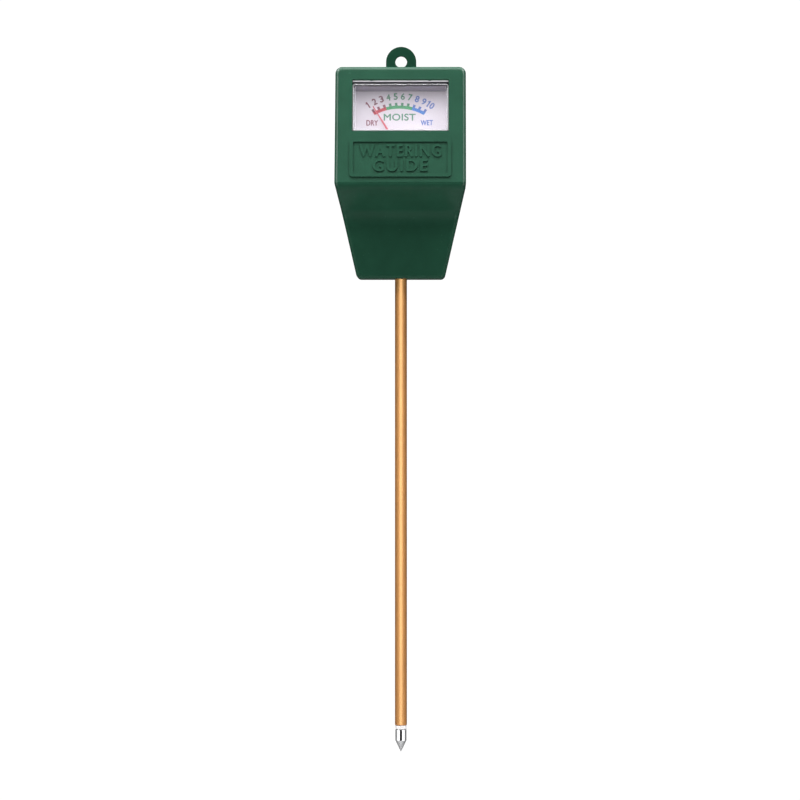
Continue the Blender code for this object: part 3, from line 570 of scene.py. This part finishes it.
def combine(obj, operation, *others, solver="MANIFOLD"):
    """Applies a Boolean with each of the other objects, which are used up."""
    for other in others:
        modifier = obj.modifiers.new(operation.title(), "BOOLEAN")
        modifier.operation = operation
        modifier.solver = solver
        modifier.object = other
    fix(obj)
    for other in others:
        bpy.data.objects.remove(other)
    return obj


def cut(obj, *others):
    return combine(obj, "DIFFERENCE", *others)


def join(obj, *others):
    return combine(obj, "UNION", *others)


def finished(obj, look, body="root", stands_for=(), sharp=30):
    """Smooth faces with crisp edges, the material, and what the piece rides on and stands for."""
    fix(obj)
    shape = bmesh.new()
    shape.from_mesh(obj.data)
    bmesh.ops.remove_doubles(shape, verts=shape.verts, dist=2e-7)
    bmesh.ops.dissolve_degenerate(shape, edges=shape.edges, dist=2e-7)
    bmesh.ops.dissolve_limit(shape, angle_limit=math.radians(0.3), verts=shape.verts, edges=shape.edges)
    for face in shape.faces:
        face.smooth = True
    for edge in shape.edges:
        edge.smooth = len(edge.link_faces) == 2 and edge.calc_face_angle(0.0) < math.radians(sharp)
    shape.to_mesh(obj.data)
    shape.free()
    obj.data.materials.clear()
    obj.data.materials.append(look)
    weighted = obj.modifiers.new("Weighted normals", "WEIGHTED_NORMAL")
    weighted.keep_sharp = True
    weighted.weight = 100
    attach(obj, body)
    if stands_for:
        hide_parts(*stands_for)
    return obj


# Head --------------------------------------------------------------------------------------------


def side_profile(back):
    """The head seen from the side, as (y, z) corners with their radii, anticlockwise."""
    fold_y = PANEL_Y - FOLD_BELOW_PANEL_START * math.sin(TILT)
    fold_z = PANEL_Z - FOLD_BELOW_PANEL_START * math.cos(TILT)
    chin_z = fold_z - (CHIN_Y - fold_y) * math.tan(CHIN_SLOPE)
    panel_top_y = PANEL_Y + (HEAD_TOP - PANEL_Z) * math.tan(TILT)
    return [
        (HEAD_BOTTOM_FRONT, HEAD_BOTTOM, 0.0),
        (back, HEAD_BOTTOM, 0.0),
        (back, HEAD_TOP, 0.0),
        (panel_top_y, HEAD_TOP, 0.0),
        (fold_y, fold_z, FOLD_RADIUS),
        (CHIN_Y, chin_z, CHIN_RADIUS),
    ]


def front_outline():
    """The head seen from the front, as (x, z) corners with their radii, anticlockwise."""
    right = [
        (HEAD_BOTTOM_HALF_WIDTH, HEAD_BOTTOM, BOTTOM_CORNER_RADIUS),
        (HEAD_HALF_WIDTH, SHOULDER, 0.0),
        (HEAD_HALF_WIDTH, HEAD_TOP, TOP_CORNER_RADIUS),
    ]
    return right + [(-x, z, radius) for x, z, radius in reversed(right)]


def side_at(z):
    """Half the head's width at a height: it widens up to the shoulder, then runs straight."""
    share = min(1.0, (z - HEAD_BOTTOM) / (SHOULDER - HEAD_BOTTOM))
    return HEAD_BOTTOM_HALF_WIDTH + (HEAD_HALF_WIDTH - HEAD_BOTTOM_HALF_WIDTH) * share


def head_form(name, profile, outline):
    form = slab(name, [rounded(profile, 12)], -30, 30, "X")
    return combine(form, "INTERSECT", slab(name + "_width", [rounded(outline, 10)], -40, 30, "Y"))


def panel_relief():
    """The raised frame and the words inside it, sunk a little into the panel."""
    low, high = RIM_LOW - PIVOT_HEIGHT, RIM_HIGH - PIVOT_HEIGHT
    outer = rectangle(RIM_HALF_WIDTH, low, high, 1.3)
    inner = rectangle(RIM_HALF_WIDTH - RIM_WIDTH, low + RIM_WIDTH, high - RIM_WIDTH, 0.5)
    rim = slab("panel_rim", [outer, inner], -DIAL_DEPTH - RIM_HEIGHT, -DIAL_DEPTH + RELIEF_ROOT, place=METER)
    words = []
    for text, (half_width, bottom, top) in WORDS.items():
        at = (0, (bottom + top) / 2 - PIVOT_HEIGHT)
        size = (2 * half_width, top - bottom)
        front, back = -DIAL_DEPTH - LETTER_HEIGHT, -DIAL_DEPTH + RELIEF_ROOT
        words.append(lettering(text.lower(), text, size, front, back, at, LETTER_WEIGHT, LETTER_SPACING))
    return fix(bevel(rim, 0.2, 3)), words


def front_shell(look, rubbed, relief_shade):
    """Front half of the case: sloping panel with its window and raised frame, folded under to the chin.

    The undersides of the relief take a darker copy of the green as painted shade, and the bevels at the sides
    the rougher one.
    """
    shell = head_form("front_moulding", side_profile(HEAD_BACK), front_outline())
    fix(bevel(shell, EDGE_RADIUS, 6, clamp=False))
    hollow = head_form("hollow", inset(side_profile(HEAD_BACK + 9), WALL), inset(front_outline(), WALL))
    cut(shell, box("behind", (-40, SHELL_BACK, 170), (40, 40, 280)), hollow)
    low, high = WINDOW_LOW - PIVOT_HEIGHT, WINDOW_HIGH - PIVOT_HEIGHT
    opening = rectangle(WINDOW_HALF_WIDTH, low, high, 0.25)
    cut(shell, slab("opening", [opening], -DIAL_DEPTH - 3, -DIAL_DEPTH + 4, place=METER))
    ribs = []
    for side in (-1, 1):
        near, far = sorted((side * 10.7, side * 11.4))
        front, back = -DIAL_DEPTH + 0.35, -DIAL_DEPTH + WALL - 0.1
        ribs.append(box(f"rib_{side}", (near, front, high - 0.4), (far, back, high + 1), METER))
    rim, words = panel_relief()
    join(shell, *ribs, rim, *words)
    tube_hole = peg("tube_hole", TUBE_RADIUS + 0.15, HEAD_BOTTOM - 2, HEAD_BOTTOM + 4, steps=48)
    collar = turned(
        "collar",
        [(0, HEAD_BOTTOM + 9), (3.5, HEAD_BOTTOM + 9), (3.5, HEAD_BOTTOM + 1), (0, HEAD_BOTTOM + 1)],
    )
    join(shell, collar)
    cut(shell, tube_hole, peg("tube_room", TUBE_RADIUS + 0.15, HEAD_BOTTOM + 3, HEAD_BOTTOM + 12, steps=48))
    finished(shell, look, stands_for=["front_shell"])
    shell.data.materials.append(rubbed)
    shell.data.materials.append(relief_shade)
    to_meter = METER.inverted() @ shell.matrix_world
    for face in shell.data.polygons:
        centre = to_meter @ face.center / MM
        normal = to_meter.to_3x3() @ face.normal
        face.use_smooth = face.use_smooth and normal.y > -0.9999
        beside_rim = abs(centre.x) < RIM_HALF_WIDTH + 0.5
        near_relief = beside_rim and RIM_LOW - 0.5 < centre.z + PIVOT_HEIGHT < RIM_HIGH + 0.5
        near_edge = abs(face.center.x) > side_at(face.center.z / MM) * MM - EDGE_RADIUS * MM
        # Downward faces of the frame and letters take the darker green as painted shade; side bevels take the
        # rougher green
        if near_relief and centre.y < -DIAL_DEPTH + 0.1 and normal.z < -0.5:
            face.material_index = 2
        elif near_edge and face.center.z / MM > PANEL_Z and 0.2 < abs(face.normal.x) < 0.92:
            face.material_index = 1
    return shell


def loop_outline():
    """The loop with its small flares onto the head's top, as (x, z) points."""
    foot = HEAD_TOP + 0.1
    flare = [(8.0, foot, 0.0), (LOOP_RADIUS, foot, 1.4), (LOOP_RADIUS, LOOP_CENTRE, 0.0)]
    right = rounded(flare + [(0, LOOP_CENTRE, 0.0)])[:-2]
    turns = [math.pi * i / 40 for i in range(41)]
    top = [Vector((math.cos(t), math.sin(t))) * LOOP_RADIUS + Vector((0, LOOP_CENTRE)) for t in turns]
    left = [Vector((-point[0], point[1])) for point in reversed(right)]
    root = [Vector((-8.0, HEAD_TOP - 3)), Vector((8.0, HEAD_TOP - 3))]
    return root + right + top + left


def rear_cover(look):
    """Back of the case with its locating lip, screw recesses and hanging loop."""
    cover = head_form("rear_moulding", side_profile(HEAD_BACK), front_outline())
    fix(bevel(cover, EDGE_RADIUS, 6, clamp=False))
    cut(cover, box("before", (-40, -60, 170), (40, COVER_FRONT, 280)))
    loop = slab("loop", [loop_outline()], COVER_FRONT + 0.1, HEAD_BACK - 0.1)
    cut(loop, peg("loop_hole", LOOP_HOLE, 0, 20, about="Y", at=(0, 0, LOOP_CENTRE)))
    fix(bevel(loop, 0.35, 3, 50))
    lip_outer = rounded(inset(front_outline(), WALL + 0.3))
    lip_inner = rounded(inset(front_outline(), WALL + 1.5))
    lip = slab("cover_lip", [lip_outer, lip_inner], COVER_FRONT - 3, COVER_FRONT + 1)
    join(cover, loop, lip)
    for name in CASE_SCREWS:
        low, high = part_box("case_screw_" + name)
        x, z = (low.x + high.x) / 2 / MM, (low.z + high.z) / 2 / MM
        where = {"about": "Y", "at": (x, 0, z)}
        mouth = [
            (0, HEAD_BACK + 1), (3.6, HEAD_BACK + 1), (2.4, HEAD_BACK - 0.2), (2.4, HEAD_BACK - 1.5),
            (0, HEAD_BACK - 1.5),
        ]
        cut(cover, peg("hole", 1.4, 0, 20, steps=32, **where), turned("recess", mouth, **where))
        if "upper" in name:
            cut(cover, peg("lip_notch", 2.5, 0, SHELL_BACK, **where))
    return finished(cover, look, stands_for=["rear_cover"])


def case_screws(look):
    """Pan-head screws with a cross recess."""
    radius, height, shank = 2.05, 1.15, 1.1
    turns = [math.pi * i / 20 for i in range(1, 11)]
    dome = [(0, height)]
    dome += [(radius * math.sin(t), height * (0.45 + 0.55 * math.cos(t))) for t in turns]
    for name in CASE_SCREWS:
        low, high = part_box("case_screw_" + name)
        x, z = (low.x + high.x) / 2 / MM, (low.z + high.z) / 2 / MM
        length = (high.y - low.y) / MM - 1.2
        outline = dome + [(radius, 0), (shank, 0)]
        threads = 12
        pitch = (length - 2.5) / threads
        for i in range(threads):
            outline += [(shank - 0.22, -1.0 - pitch * (i + 0.25)), (shank, -1.0 - pitch * (i + 0.75))]
        outline += [(shank - 0.25, 1.2 - length), (0, -length)]
        at = (x, high.y / MM - 1.2, z)
        screw = turned("screw_" + name, outline, "Y", at, 48)
        fix(screw)
        seat = Matrix.Translation((x * MM, high.y, z * MM)) @ Matrix.Rotation(0.4 * x, 4, "Y")
        arms = [
            box("arm_a", (-1.15, -0.85, -0.26), (1.15, 1, 0.26), seat),
            box("arm_b", (-0.26, -0.85, -1.15), (0.26, 1, 1.15), seat),
        ]
        cut(screw, *arms)
        finished(screw, look, stands_for=["case_screw_" + name])


# Probe -------------------------------------------------------------------------------------------


def probe(looks):
    """Copper tube, insulating ring and bright point, each turned with its small chamfers."""
    low, high = (corner.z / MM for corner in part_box("probe_tube"))
    lip = 0.12
    tube = [
        (TUBE_BORE, high), (TUBE_RADIUS - lip, high), (TUBE_RADIUS, high - lip), (TUBE_RADIUS, low + lip),
        (TUBE_RADIUS - lip, low), (TUBE_BORE, low),
    ]
    finished(
        turned("copper_sleeve", tube, steps=96, closed=True), looks["copper"],
        stands_for=["probe_tube"],
    )
    ring_low, ring_top = (corner.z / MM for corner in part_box("tip_insulator"))
    sleeve = TUBE_BORE - 0.15
    shoulder = low - 0.15
    ring = [
        (ROD_BORE, ring_top), (sleeve, ring_top), (sleeve, shoulder), (RING_RADIUS - lip, shoulder),
        (RING_RADIUS, shoulder - lip), (RING_RADIUS, ring_low + lip), (RING_RADIUS - lip, ring_low),
        (ROD_BORE, ring_low),
    ]
    finished(
        turned("insulating_ring", ring, steps=96, closed=True), looks["ring"],
        stands_for=["tip_insulator"],
    )
    tip = [
        (0, TIP_TOP - 3), (ROD_BORE, TIP_TOP - 3), (ROD_BORE, TIP_TOP), (TIP_RADIUS - 0.1, TIP_TOP),
        (TIP_RADIUS, TIP_TOP - 0.1), (TIP_RADIUS, TIP_SHOULDER), (TIP_RADIUS - 0.09, TIP_SHOULDER - 0.12),
        (0.2, 0.33), (0.13, 0.1), (0.06, 0.02), (0, 0),
    ]
    finished(
        turned("bright_point", tip, steps=96), looks["tip"],
        stands_for=["probe_tip"],
    )


# Meter -------------------------------------------------------------------------------------------


def clear_cover(look, bright, dull, deep, low_look):
    """Clear moulded cover: a raised window on a flange, a ledge, and walls to the dial, its edges opaque.

    The edges take pale and dark copies of one colour as painted light and painted shade. It casts no shadow,
    and the lit edges glow faintly as painted light.
    """
    front, flange_back = -DIAL_DEPTH + 0.7, -DIAL_DEPTH + 3.3
    flange_low = WINDOW_LOW - PIVOT_HEIGHT - 1.1
    low_corner = (-COVER_HALF_WIDTH, flange_back - 1, flange_low)
    cover = box("clear_cover", low_corner, (COVER_HALF_WIDTH, BASE_FRONT - 0.3, COVER_TOP), METER)
    fix(bevel(cover, 0.2, 2))
    inside = COVER_HALF_WIDTH - COVER_WALL
    cut(cover, box("room", (-inside, flange_back, 0), (inside, 3, COVER_TOP - 1), METER))
    opening_top = WINDOW_HIGH - PIVOT_HEIGHT
    high = opening_top - 1.4
    low = WINDOW_LOW - PIVOT_HEIGHT + 0.15
    half = WINDOW_HALF_WIDTH - 0.15
    raised = rectangle(half, low, high, 0.8)
    window = fix(bevel(slab("raised_window", [raised], front, flange_back - 0.5, place=METER), 0.65, 3))
    ledge_low = (-half, front, opening_top - 0.75)
    ledge_high = (half, flange_back - 0.5, opening_top - 0.1)
    ledge = fix(bevel(box("ledge", ledge_low, ledge_high, METER), 0.12, 2))
    skirt_wall = 0.9
    skirt_high = box("skirt_top", (-half, flange_back - 0.5, high - skirt_wall), (half, -0.4, high), METER)
    skirt = [
        box(f"skirt_{side}", (min(side * half, side * (half - skirt_wall)), flange_back - 0.5, low + 1),
            (max(side * half, side * (half - skirt_wall)), -0.4, high - 0.2), METER)
        for side in (-1, 1)
    ]
    # A thin sheet across the gap between the window's top and the ledge, whose faces carry the painted shadow
    # of that gap
    shadow_sheet_low = (-half, flange_back - 1.08, high - 0.3)
    shadow_sheet_high = (half, flange_back - 0.5, opening_top - 0.7)
    shadow_sheet = box("shadow_sheet", shadow_sheet_low, shadow_sheet_high, METER)
    join(cover, window, ledge, skirt_high, shadow_sheet, *skirt)
    pocket = rectangle(half - 1, low + 1, high - skirt_wall, 0.3)
    cut(cover, slab("pocket", [pocket], front + 1, flange_back + 1, place=METER))
    finished(cover, look, stands_for=["meter_cover"])
    cover.visible_shadow = False
    for edge_look in (bright, dull, deep, low_look):
        cover.data.materials.append(edge_look)
    # Edge faces take painted light and shade: the ledge's top and the side and bottom walls the lit copy, the
    # ledge's underside and the gap below it painted shadow, the downward faces at the bottom the half-shaded
    # copy, and the top wall painted shade
    to_meter = METER.inverted() @ cover.matrix_world
    for face in cover.data.polygons:
        centre = to_meter @ face.center / MM
        normal = to_meter.to_3x3() @ face.normal
        if centre.y > -0.3 or abs(centre.x) > half + 0.1 or not low - 0.1 < centre.z < opening_top:
            continue
        if centre.z > opening_top - 0.8:
            face.material_index = 3 if normal.z < -0.9 else 1
        elif centre.z > high + 0.05:
            face.material_index = 3
        elif normal.z < -0.2 and centre.z < low + 1.2:
            face.material_index = 4
        elif abs(normal.y) < 0.95:
            on_top_wall = abs(normal.z) > 0.7 and centre.z > high - 1.2 and centre.y > front + 0.6
            face.material_index = 2 if on_top_wall else 1
    return cover


def arc_band(start, end, inner, outer):
    """Outline of a band of the scale between two angles, clockwise from straight up."""
    steps = max(2, round((end - start) / math.radians(1.5)))
    turns = [start + (end - start) * i / steps for i in range(steps + 1)]
    outside = [(outer * math.sin(t) + PRINT_SHIFT, outer * math.cos(t)) for t in turns]
    inside = [(inner * math.sin(t) + PRINT_SHIFT, inner * math.cos(t)) for t in reversed(turns)]
    return outside + inside


def numeral(number, turn):
    """One number of the scale, upright along its own radius. The figure 1 is a stroke with a small flag."""
    solids = []
    digits = str(number)
    for place, digit in enumerate(digits):
        across = DIGIT_PITCH * (place - (len(digits) - 1) / 2)
        centre = Matrix.Translation((PRINT_SHIFT * MM, 0, NUMERAL_CENTRE * MM))
        at = centre @ Matrix.Rotation(turn * NUMERAL_FAN, 4, "Y")
        at = METER @ at @ Matrix.Translation((across * MM, 0, NUMERAL_RADIUS * MM))
        name = f"numeral_{number}_{place}"
        if digit == "1":
            half, tall = 0.26, NUMERAL_HEIGHT / 2
            stroke = [
                (half, -tall), (half, tall), (-half, tall), (-0.75, tall - 0.75), (-0.55, tall - 0.95),
                (-half, tall - 0.65), (-half, -tall),
            ]
            solids.append(slab(name, [stroke], -INK, 0.01, place=at))
        else:
            size = (NUMERAL_WIDTH, NUMERAL_HEIGHT)
            solids.append(lettering(name, digit, size, -INK, 0.01, weight=NUMERAL_WEIGHT, place=at))
    return solids


def dial_print(looks):
    """Coloured scale, its numerals and the three words, as films of ink on the dial's face."""
    step = 2 * SCALE_HALF_ANGLE / (NUMERALS - 1)
    tooth = math.atan(TOOTH_HALF_WIDTH / TOOTH_TIP)
    zones = {
        "red": (0, 2, [("DRY", (4.5, 2.3), (-10.8, 11.9))]),
        "green": (3, 6, [("MOIST", (12.2, 2.9), (-0.35, 14.25))]),
        "blue": (7, 9, [("WET", (4.7, 2.2), (9.95, 11.95))]),
    }
    for zone, (first, last, words) in zones.items():
        start, end = (-SCALE_HALF_ANGLE + step * number for number in (first, last))
        left = start - tooth if zone != "green" else start - step + tooth
        right = end + tooth if zone != "green" else end + step - tooth
        band = arc_band(left, right, BAND_INNER, BAND_OUTER)
        scale = slab(zone + "_scale", [band], -INK, 0.01, place=METER)
        marks = []
        for number in range(first, last + 1):
            turn = -SCALE_HALF_ANGLE + step * number
            teeth = [arc_band(turn - tooth, turn + tooth, BAND_OUTER - 0.05, TOOTH_TIP)]
            marks.append(slab(f"tooth_{number}", teeth, -INK, 0.01, place=METER))
            marks += numeral(number + 1, turn)
        for text, size, at in words:
            word = lettering(text.lower(), text, size, -INK, 0.01, at, SCALE_WORD_WEIGHT, SCALE_WORD_SPACING)
            marks.append(word)
        finished(scale, looks[zone + "_ink"])
        merge(zone + "_marks", marks)
        finished(bpy.data.objects[zone + "_marks"], looks[zone + "_mark_ink"])


def merge(name, objects):
    """One object that holds several separate solids."""
    shape = bmesh.new()
    for obj in objects:
        obj.data.transform(obj.matrix_world)
        shape.from_mesh(obj.data)
        bpy.data.objects.remove(obj)
    mesh = bpy.data.meshes.new(name)
    shape.to_mesh(mesh)
    shape.free()
    return put(name, mesh)


# Studio ------------------------------------------------------------------------------------------


def soft_light(name, at, towards, size, power):
    light = bpy.data.lights.new(name, "AREA")
    light.shape = "RECTANGLE"
    light.size, light.size_y = size
    light.energy = power
    obj = put(name, light)
    obj.location = at
    obj.rotation_euler = (Vector(towards) - Vector(at)).to_track_quat("-Z", "Y").to_euler()
    return obj


def flag(light, state, *pieces):
    """Screens a light so that it falls on these pieces alone, or on all but these."""
    lit = bpy.data.collections.new(light.name + "_flag")
    for piece in pieces:
        lit.objects.link(bpy.data.objects[piece])
    for member in lit.collection_objects:
        member.light_linking.link_state = state
    light.light_linking.receiver_collection = lit


HEAD_AIM = (0, -0.01, HEAD_TOP * 0.86 * MM)
POINT_AIM = (0, 0, 0.0)

# Each light's place, what it points at, its size and its power, in metres and watts
PANEL_LIGHTS = {
    "overhead": ((0, -0.02, 1.15), HEAD_AIM, (1.4, 0.9), 42.0),
    "panel_light": ((0, -1.2, 1.3), HEAD_AIM, (0.9, 0.7), 2.8),
    "cover_light": ((0, -1.2, 1.3), HEAD_AIM, (0.9, 0.7), 1.4),
}
PROBE_LIGHTS = {
    "probe_light": ((0, -2.6, 0.1), (0, 0, 0.1), (1.9, 0.5), 37.0),
    "tip_light": ((0, -2.6, 0.68), POINT_AIM, (1.2, 0.5), 12.0),
}
RIM_POWERS = {-1: 4.0, 1: 2.6}
PROBE_LIGHT_TINT = (0.62, 0.8, 1.0)
WORLD_LIGHT = 0.05
FLOOR_HEIGHT, FLOOR_HALF_SIZE = -1.1, 6.0

# The pieces that some lights are let onto alone, or kept off
FLAGS = {
    "panel_light": ("EXCLUDE", "clear_cover"),
    "cover_light": ("INCLUDE", "clear_cover"),
    "tall_light": ("EXCLUDE", "copper_sleeve"),
    "bounce_light": ("EXCLUDE", "copper_sleeve", "bright_point"),
    "probe_light": ("INCLUDE", "copper_sleeve"),
    "tip_light": ("INCLUDE", "insulating_ring", "bright_point"),
}


def lights():
    """Soft lights round the front, several of them screened by flags, with a cool one on the copper alone."""
    for name, light in PANEL_LIGHTS.items():
        made = soft_light(name, *light)
        if name in FLAGS:
            flag(made, *FLAGS[name])
    for side, rim_power in RIM_POWERS.items():
        tall = soft_light(f"tall_light_{side}", (side * 1.0, -1.0, -0.1), (0, 0, 0.13), (0.5, 1.6), 3.6)
        bounce = soft_light(f"bounce_light_{side}", (side * 0.5, -0.5, -1.0), HEAD_AIM, (0.6, 0.6), 4.8)
        soft_light(f"rim_light_{side}", (side * 0.71, -0.6, 0.82), HEAD_AIM, (0.5, 0.4), rim_power)
        soft_light(f"low_side_light_{side}", (side * 0.72, -0.36, -0.07), POINT_AIM, (1.19, 0.14), 0.56)
        flag(tall, *FLAGS["tall_light"])
        flag(bounce, *FLAGS["bounce_light"])
    for name, light in PROBE_LIGHTS.items():
        flag(soft_light(name, *light), *FLAGS[name])
    bpy.data.lights["probe_light"].color = PROBE_LIGHT_TINT


def studio():
    """The lights, a dim white world that is bright to the camera, and a pale floor."""
    lights()
    world = bpy.data.worlds.new("studio")
    world.use_nodes = True
    bpy.context.scene.world = world
    nodes, links = world.node_tree.nodes, world.node_tree.links
    background = nodes["Background"]
    background.inputs["Color"].default_value = (1, 1, 1, 1)
    rays = nodes.new("ShaderNodeLightPath")
    level = nodes.new("ShaderNodeMapRange")
    level.inputs["To Min"].default_value = WORLD_LIGHT
    level.inputs["To Max"].default_value = WORLD_LIGHT + 1
    links.new(rays.outputs["Is Camera Ray"], level.inputs["Value"])
    links.new(level.outputs["Result"], background.inputs["Strength"])

    floor_mesh = bpy.data.meshes.new("floor")
    shape = bmesh.new()
    bmesh.ops.create_grid(shape, x_segments=8, y_segments=8, size=FLOOR_HALF_SIZE)
    shape.to_mesh(floor_mesh)
    shape.free()
    floor = put("floor", floor_mesh)
    floor.location.z = FLOOR_HEIGHT
    paper = new_look("pale_paper", (0.56, 0.56, 0.565), Roughness=0.9)
    glow = paper.node_tree.nodes.new("ShaderNodeMapRange")
    glow.inputs["To Max"].default_value = 1.0
    rays = paper.node_tree.nodes.new("ShaderNodeLightPath")
    paper.node_tree.links.new(rays.outputs["Is Camera Ray"], glow.inputs["Value"])
    paper.node_tree.nodes["Principled BSDF"].inputs["Emission Color"].default_value = (1, 1, 1, 1)
    drive(paper, "Emission Strength", glow.outputs["Result"])
    floor_mesh.materials.append(paper)

    bpy.context.scene.view_settings.view_transform = "Standard"


def camera():
    """Level with the middle of the sensor, far enough off to flatten it as the long lens does."""
    lens = bpy.data.cameras.new("camera")
    lens.lens = 164.5
    lens.sensor_width = 36.0
    lens.clip_end = 20.0
    obj = put("camera", lens)
    distance, height, shift = 1.4, 0.1346, 0.36
    yaw = math.radians(0.67)
    right = Vector((math.cos(yaw), math.sin(yaw), 0))
    back = distance * Vector((math.sin(yaw), -math.cos(yaw), 0))
    obj.location = back + Vector((0, 0, height)) - shift * MM * right
    obj.rotation_euler = (math.pi / 2, 0, yaw)
    bpy.context.scene.camera = obj


# CAD pieces that keep their shape ----------------------------------------------------------------

KEPT = {
    "chassis": ["meter_base"],
    "dial": ["dial_plate"],
    "screw_steel": [
        "meter_screw_left", "meter_screw_right", "dial_screw_left", "dial_screw_right",
        "front_bridge_screw_left", "front_bridge_screw_right",
        "rear_bridge_screw_left", "rear_bridge_screw_right",
    ],
    "steel": ["centre_rod", "probe_clip", "front_pivot", "rear_pivot"],
    "iron": ["yoke_ring"],
    "magnet": ["core_magnet"],
    "aluminium": ["core_spacer_upper", "core_spacer_lower", "coil_former"],
    "brass": [
        "front_bridge", "rear_bridge", "front_jewel_screw", "rear_jewel_screw", "tube_solder_tag",
        "terminal_tag_negative", "terminal_tag_positive", "zero_adjuster",
        "balance_weight_tail", "balance_weight_left", "balance_weight_right",
    ],
    "spring_bronze": ["front_hairspring", "rear_hairspring"],
    "liner": ["probe_liner"],
    "pointer": ["pointer"],
    "winding": ["coil_winding"],
    "resistor": ["shunt_resistor"],
    "red_wire": ["lead_wire_red"],
    "black_wire": ["lead_wire_black"],
}


def dress_kept(looks):
    for look, names in KEPT.items():
        for name in names:
            node = frame["nodes"][name]
            node.data.materials.clear()
            node.data.materials.append(looks[look])


camera()
LOOKS = make_looks()
dress_kept(LOOKS)
front_shell(LOOKS["green"], LOOKS["rubbed"], LOOKS["relief_shade"])
rear_cover(LOOKS["green"])
case_screws(LOOKS["screw_steel"])
probe(LOOKS)
clear_cover(
    LOOKS["clear"], LOOKS["painted_lit_edge"], LOOKS["painted_shade_edge"], LOOKS["painted_shadow_edge"], LOOKS["painted_half_shade_edge"]
)
dial_print(LOOKS)
studio()
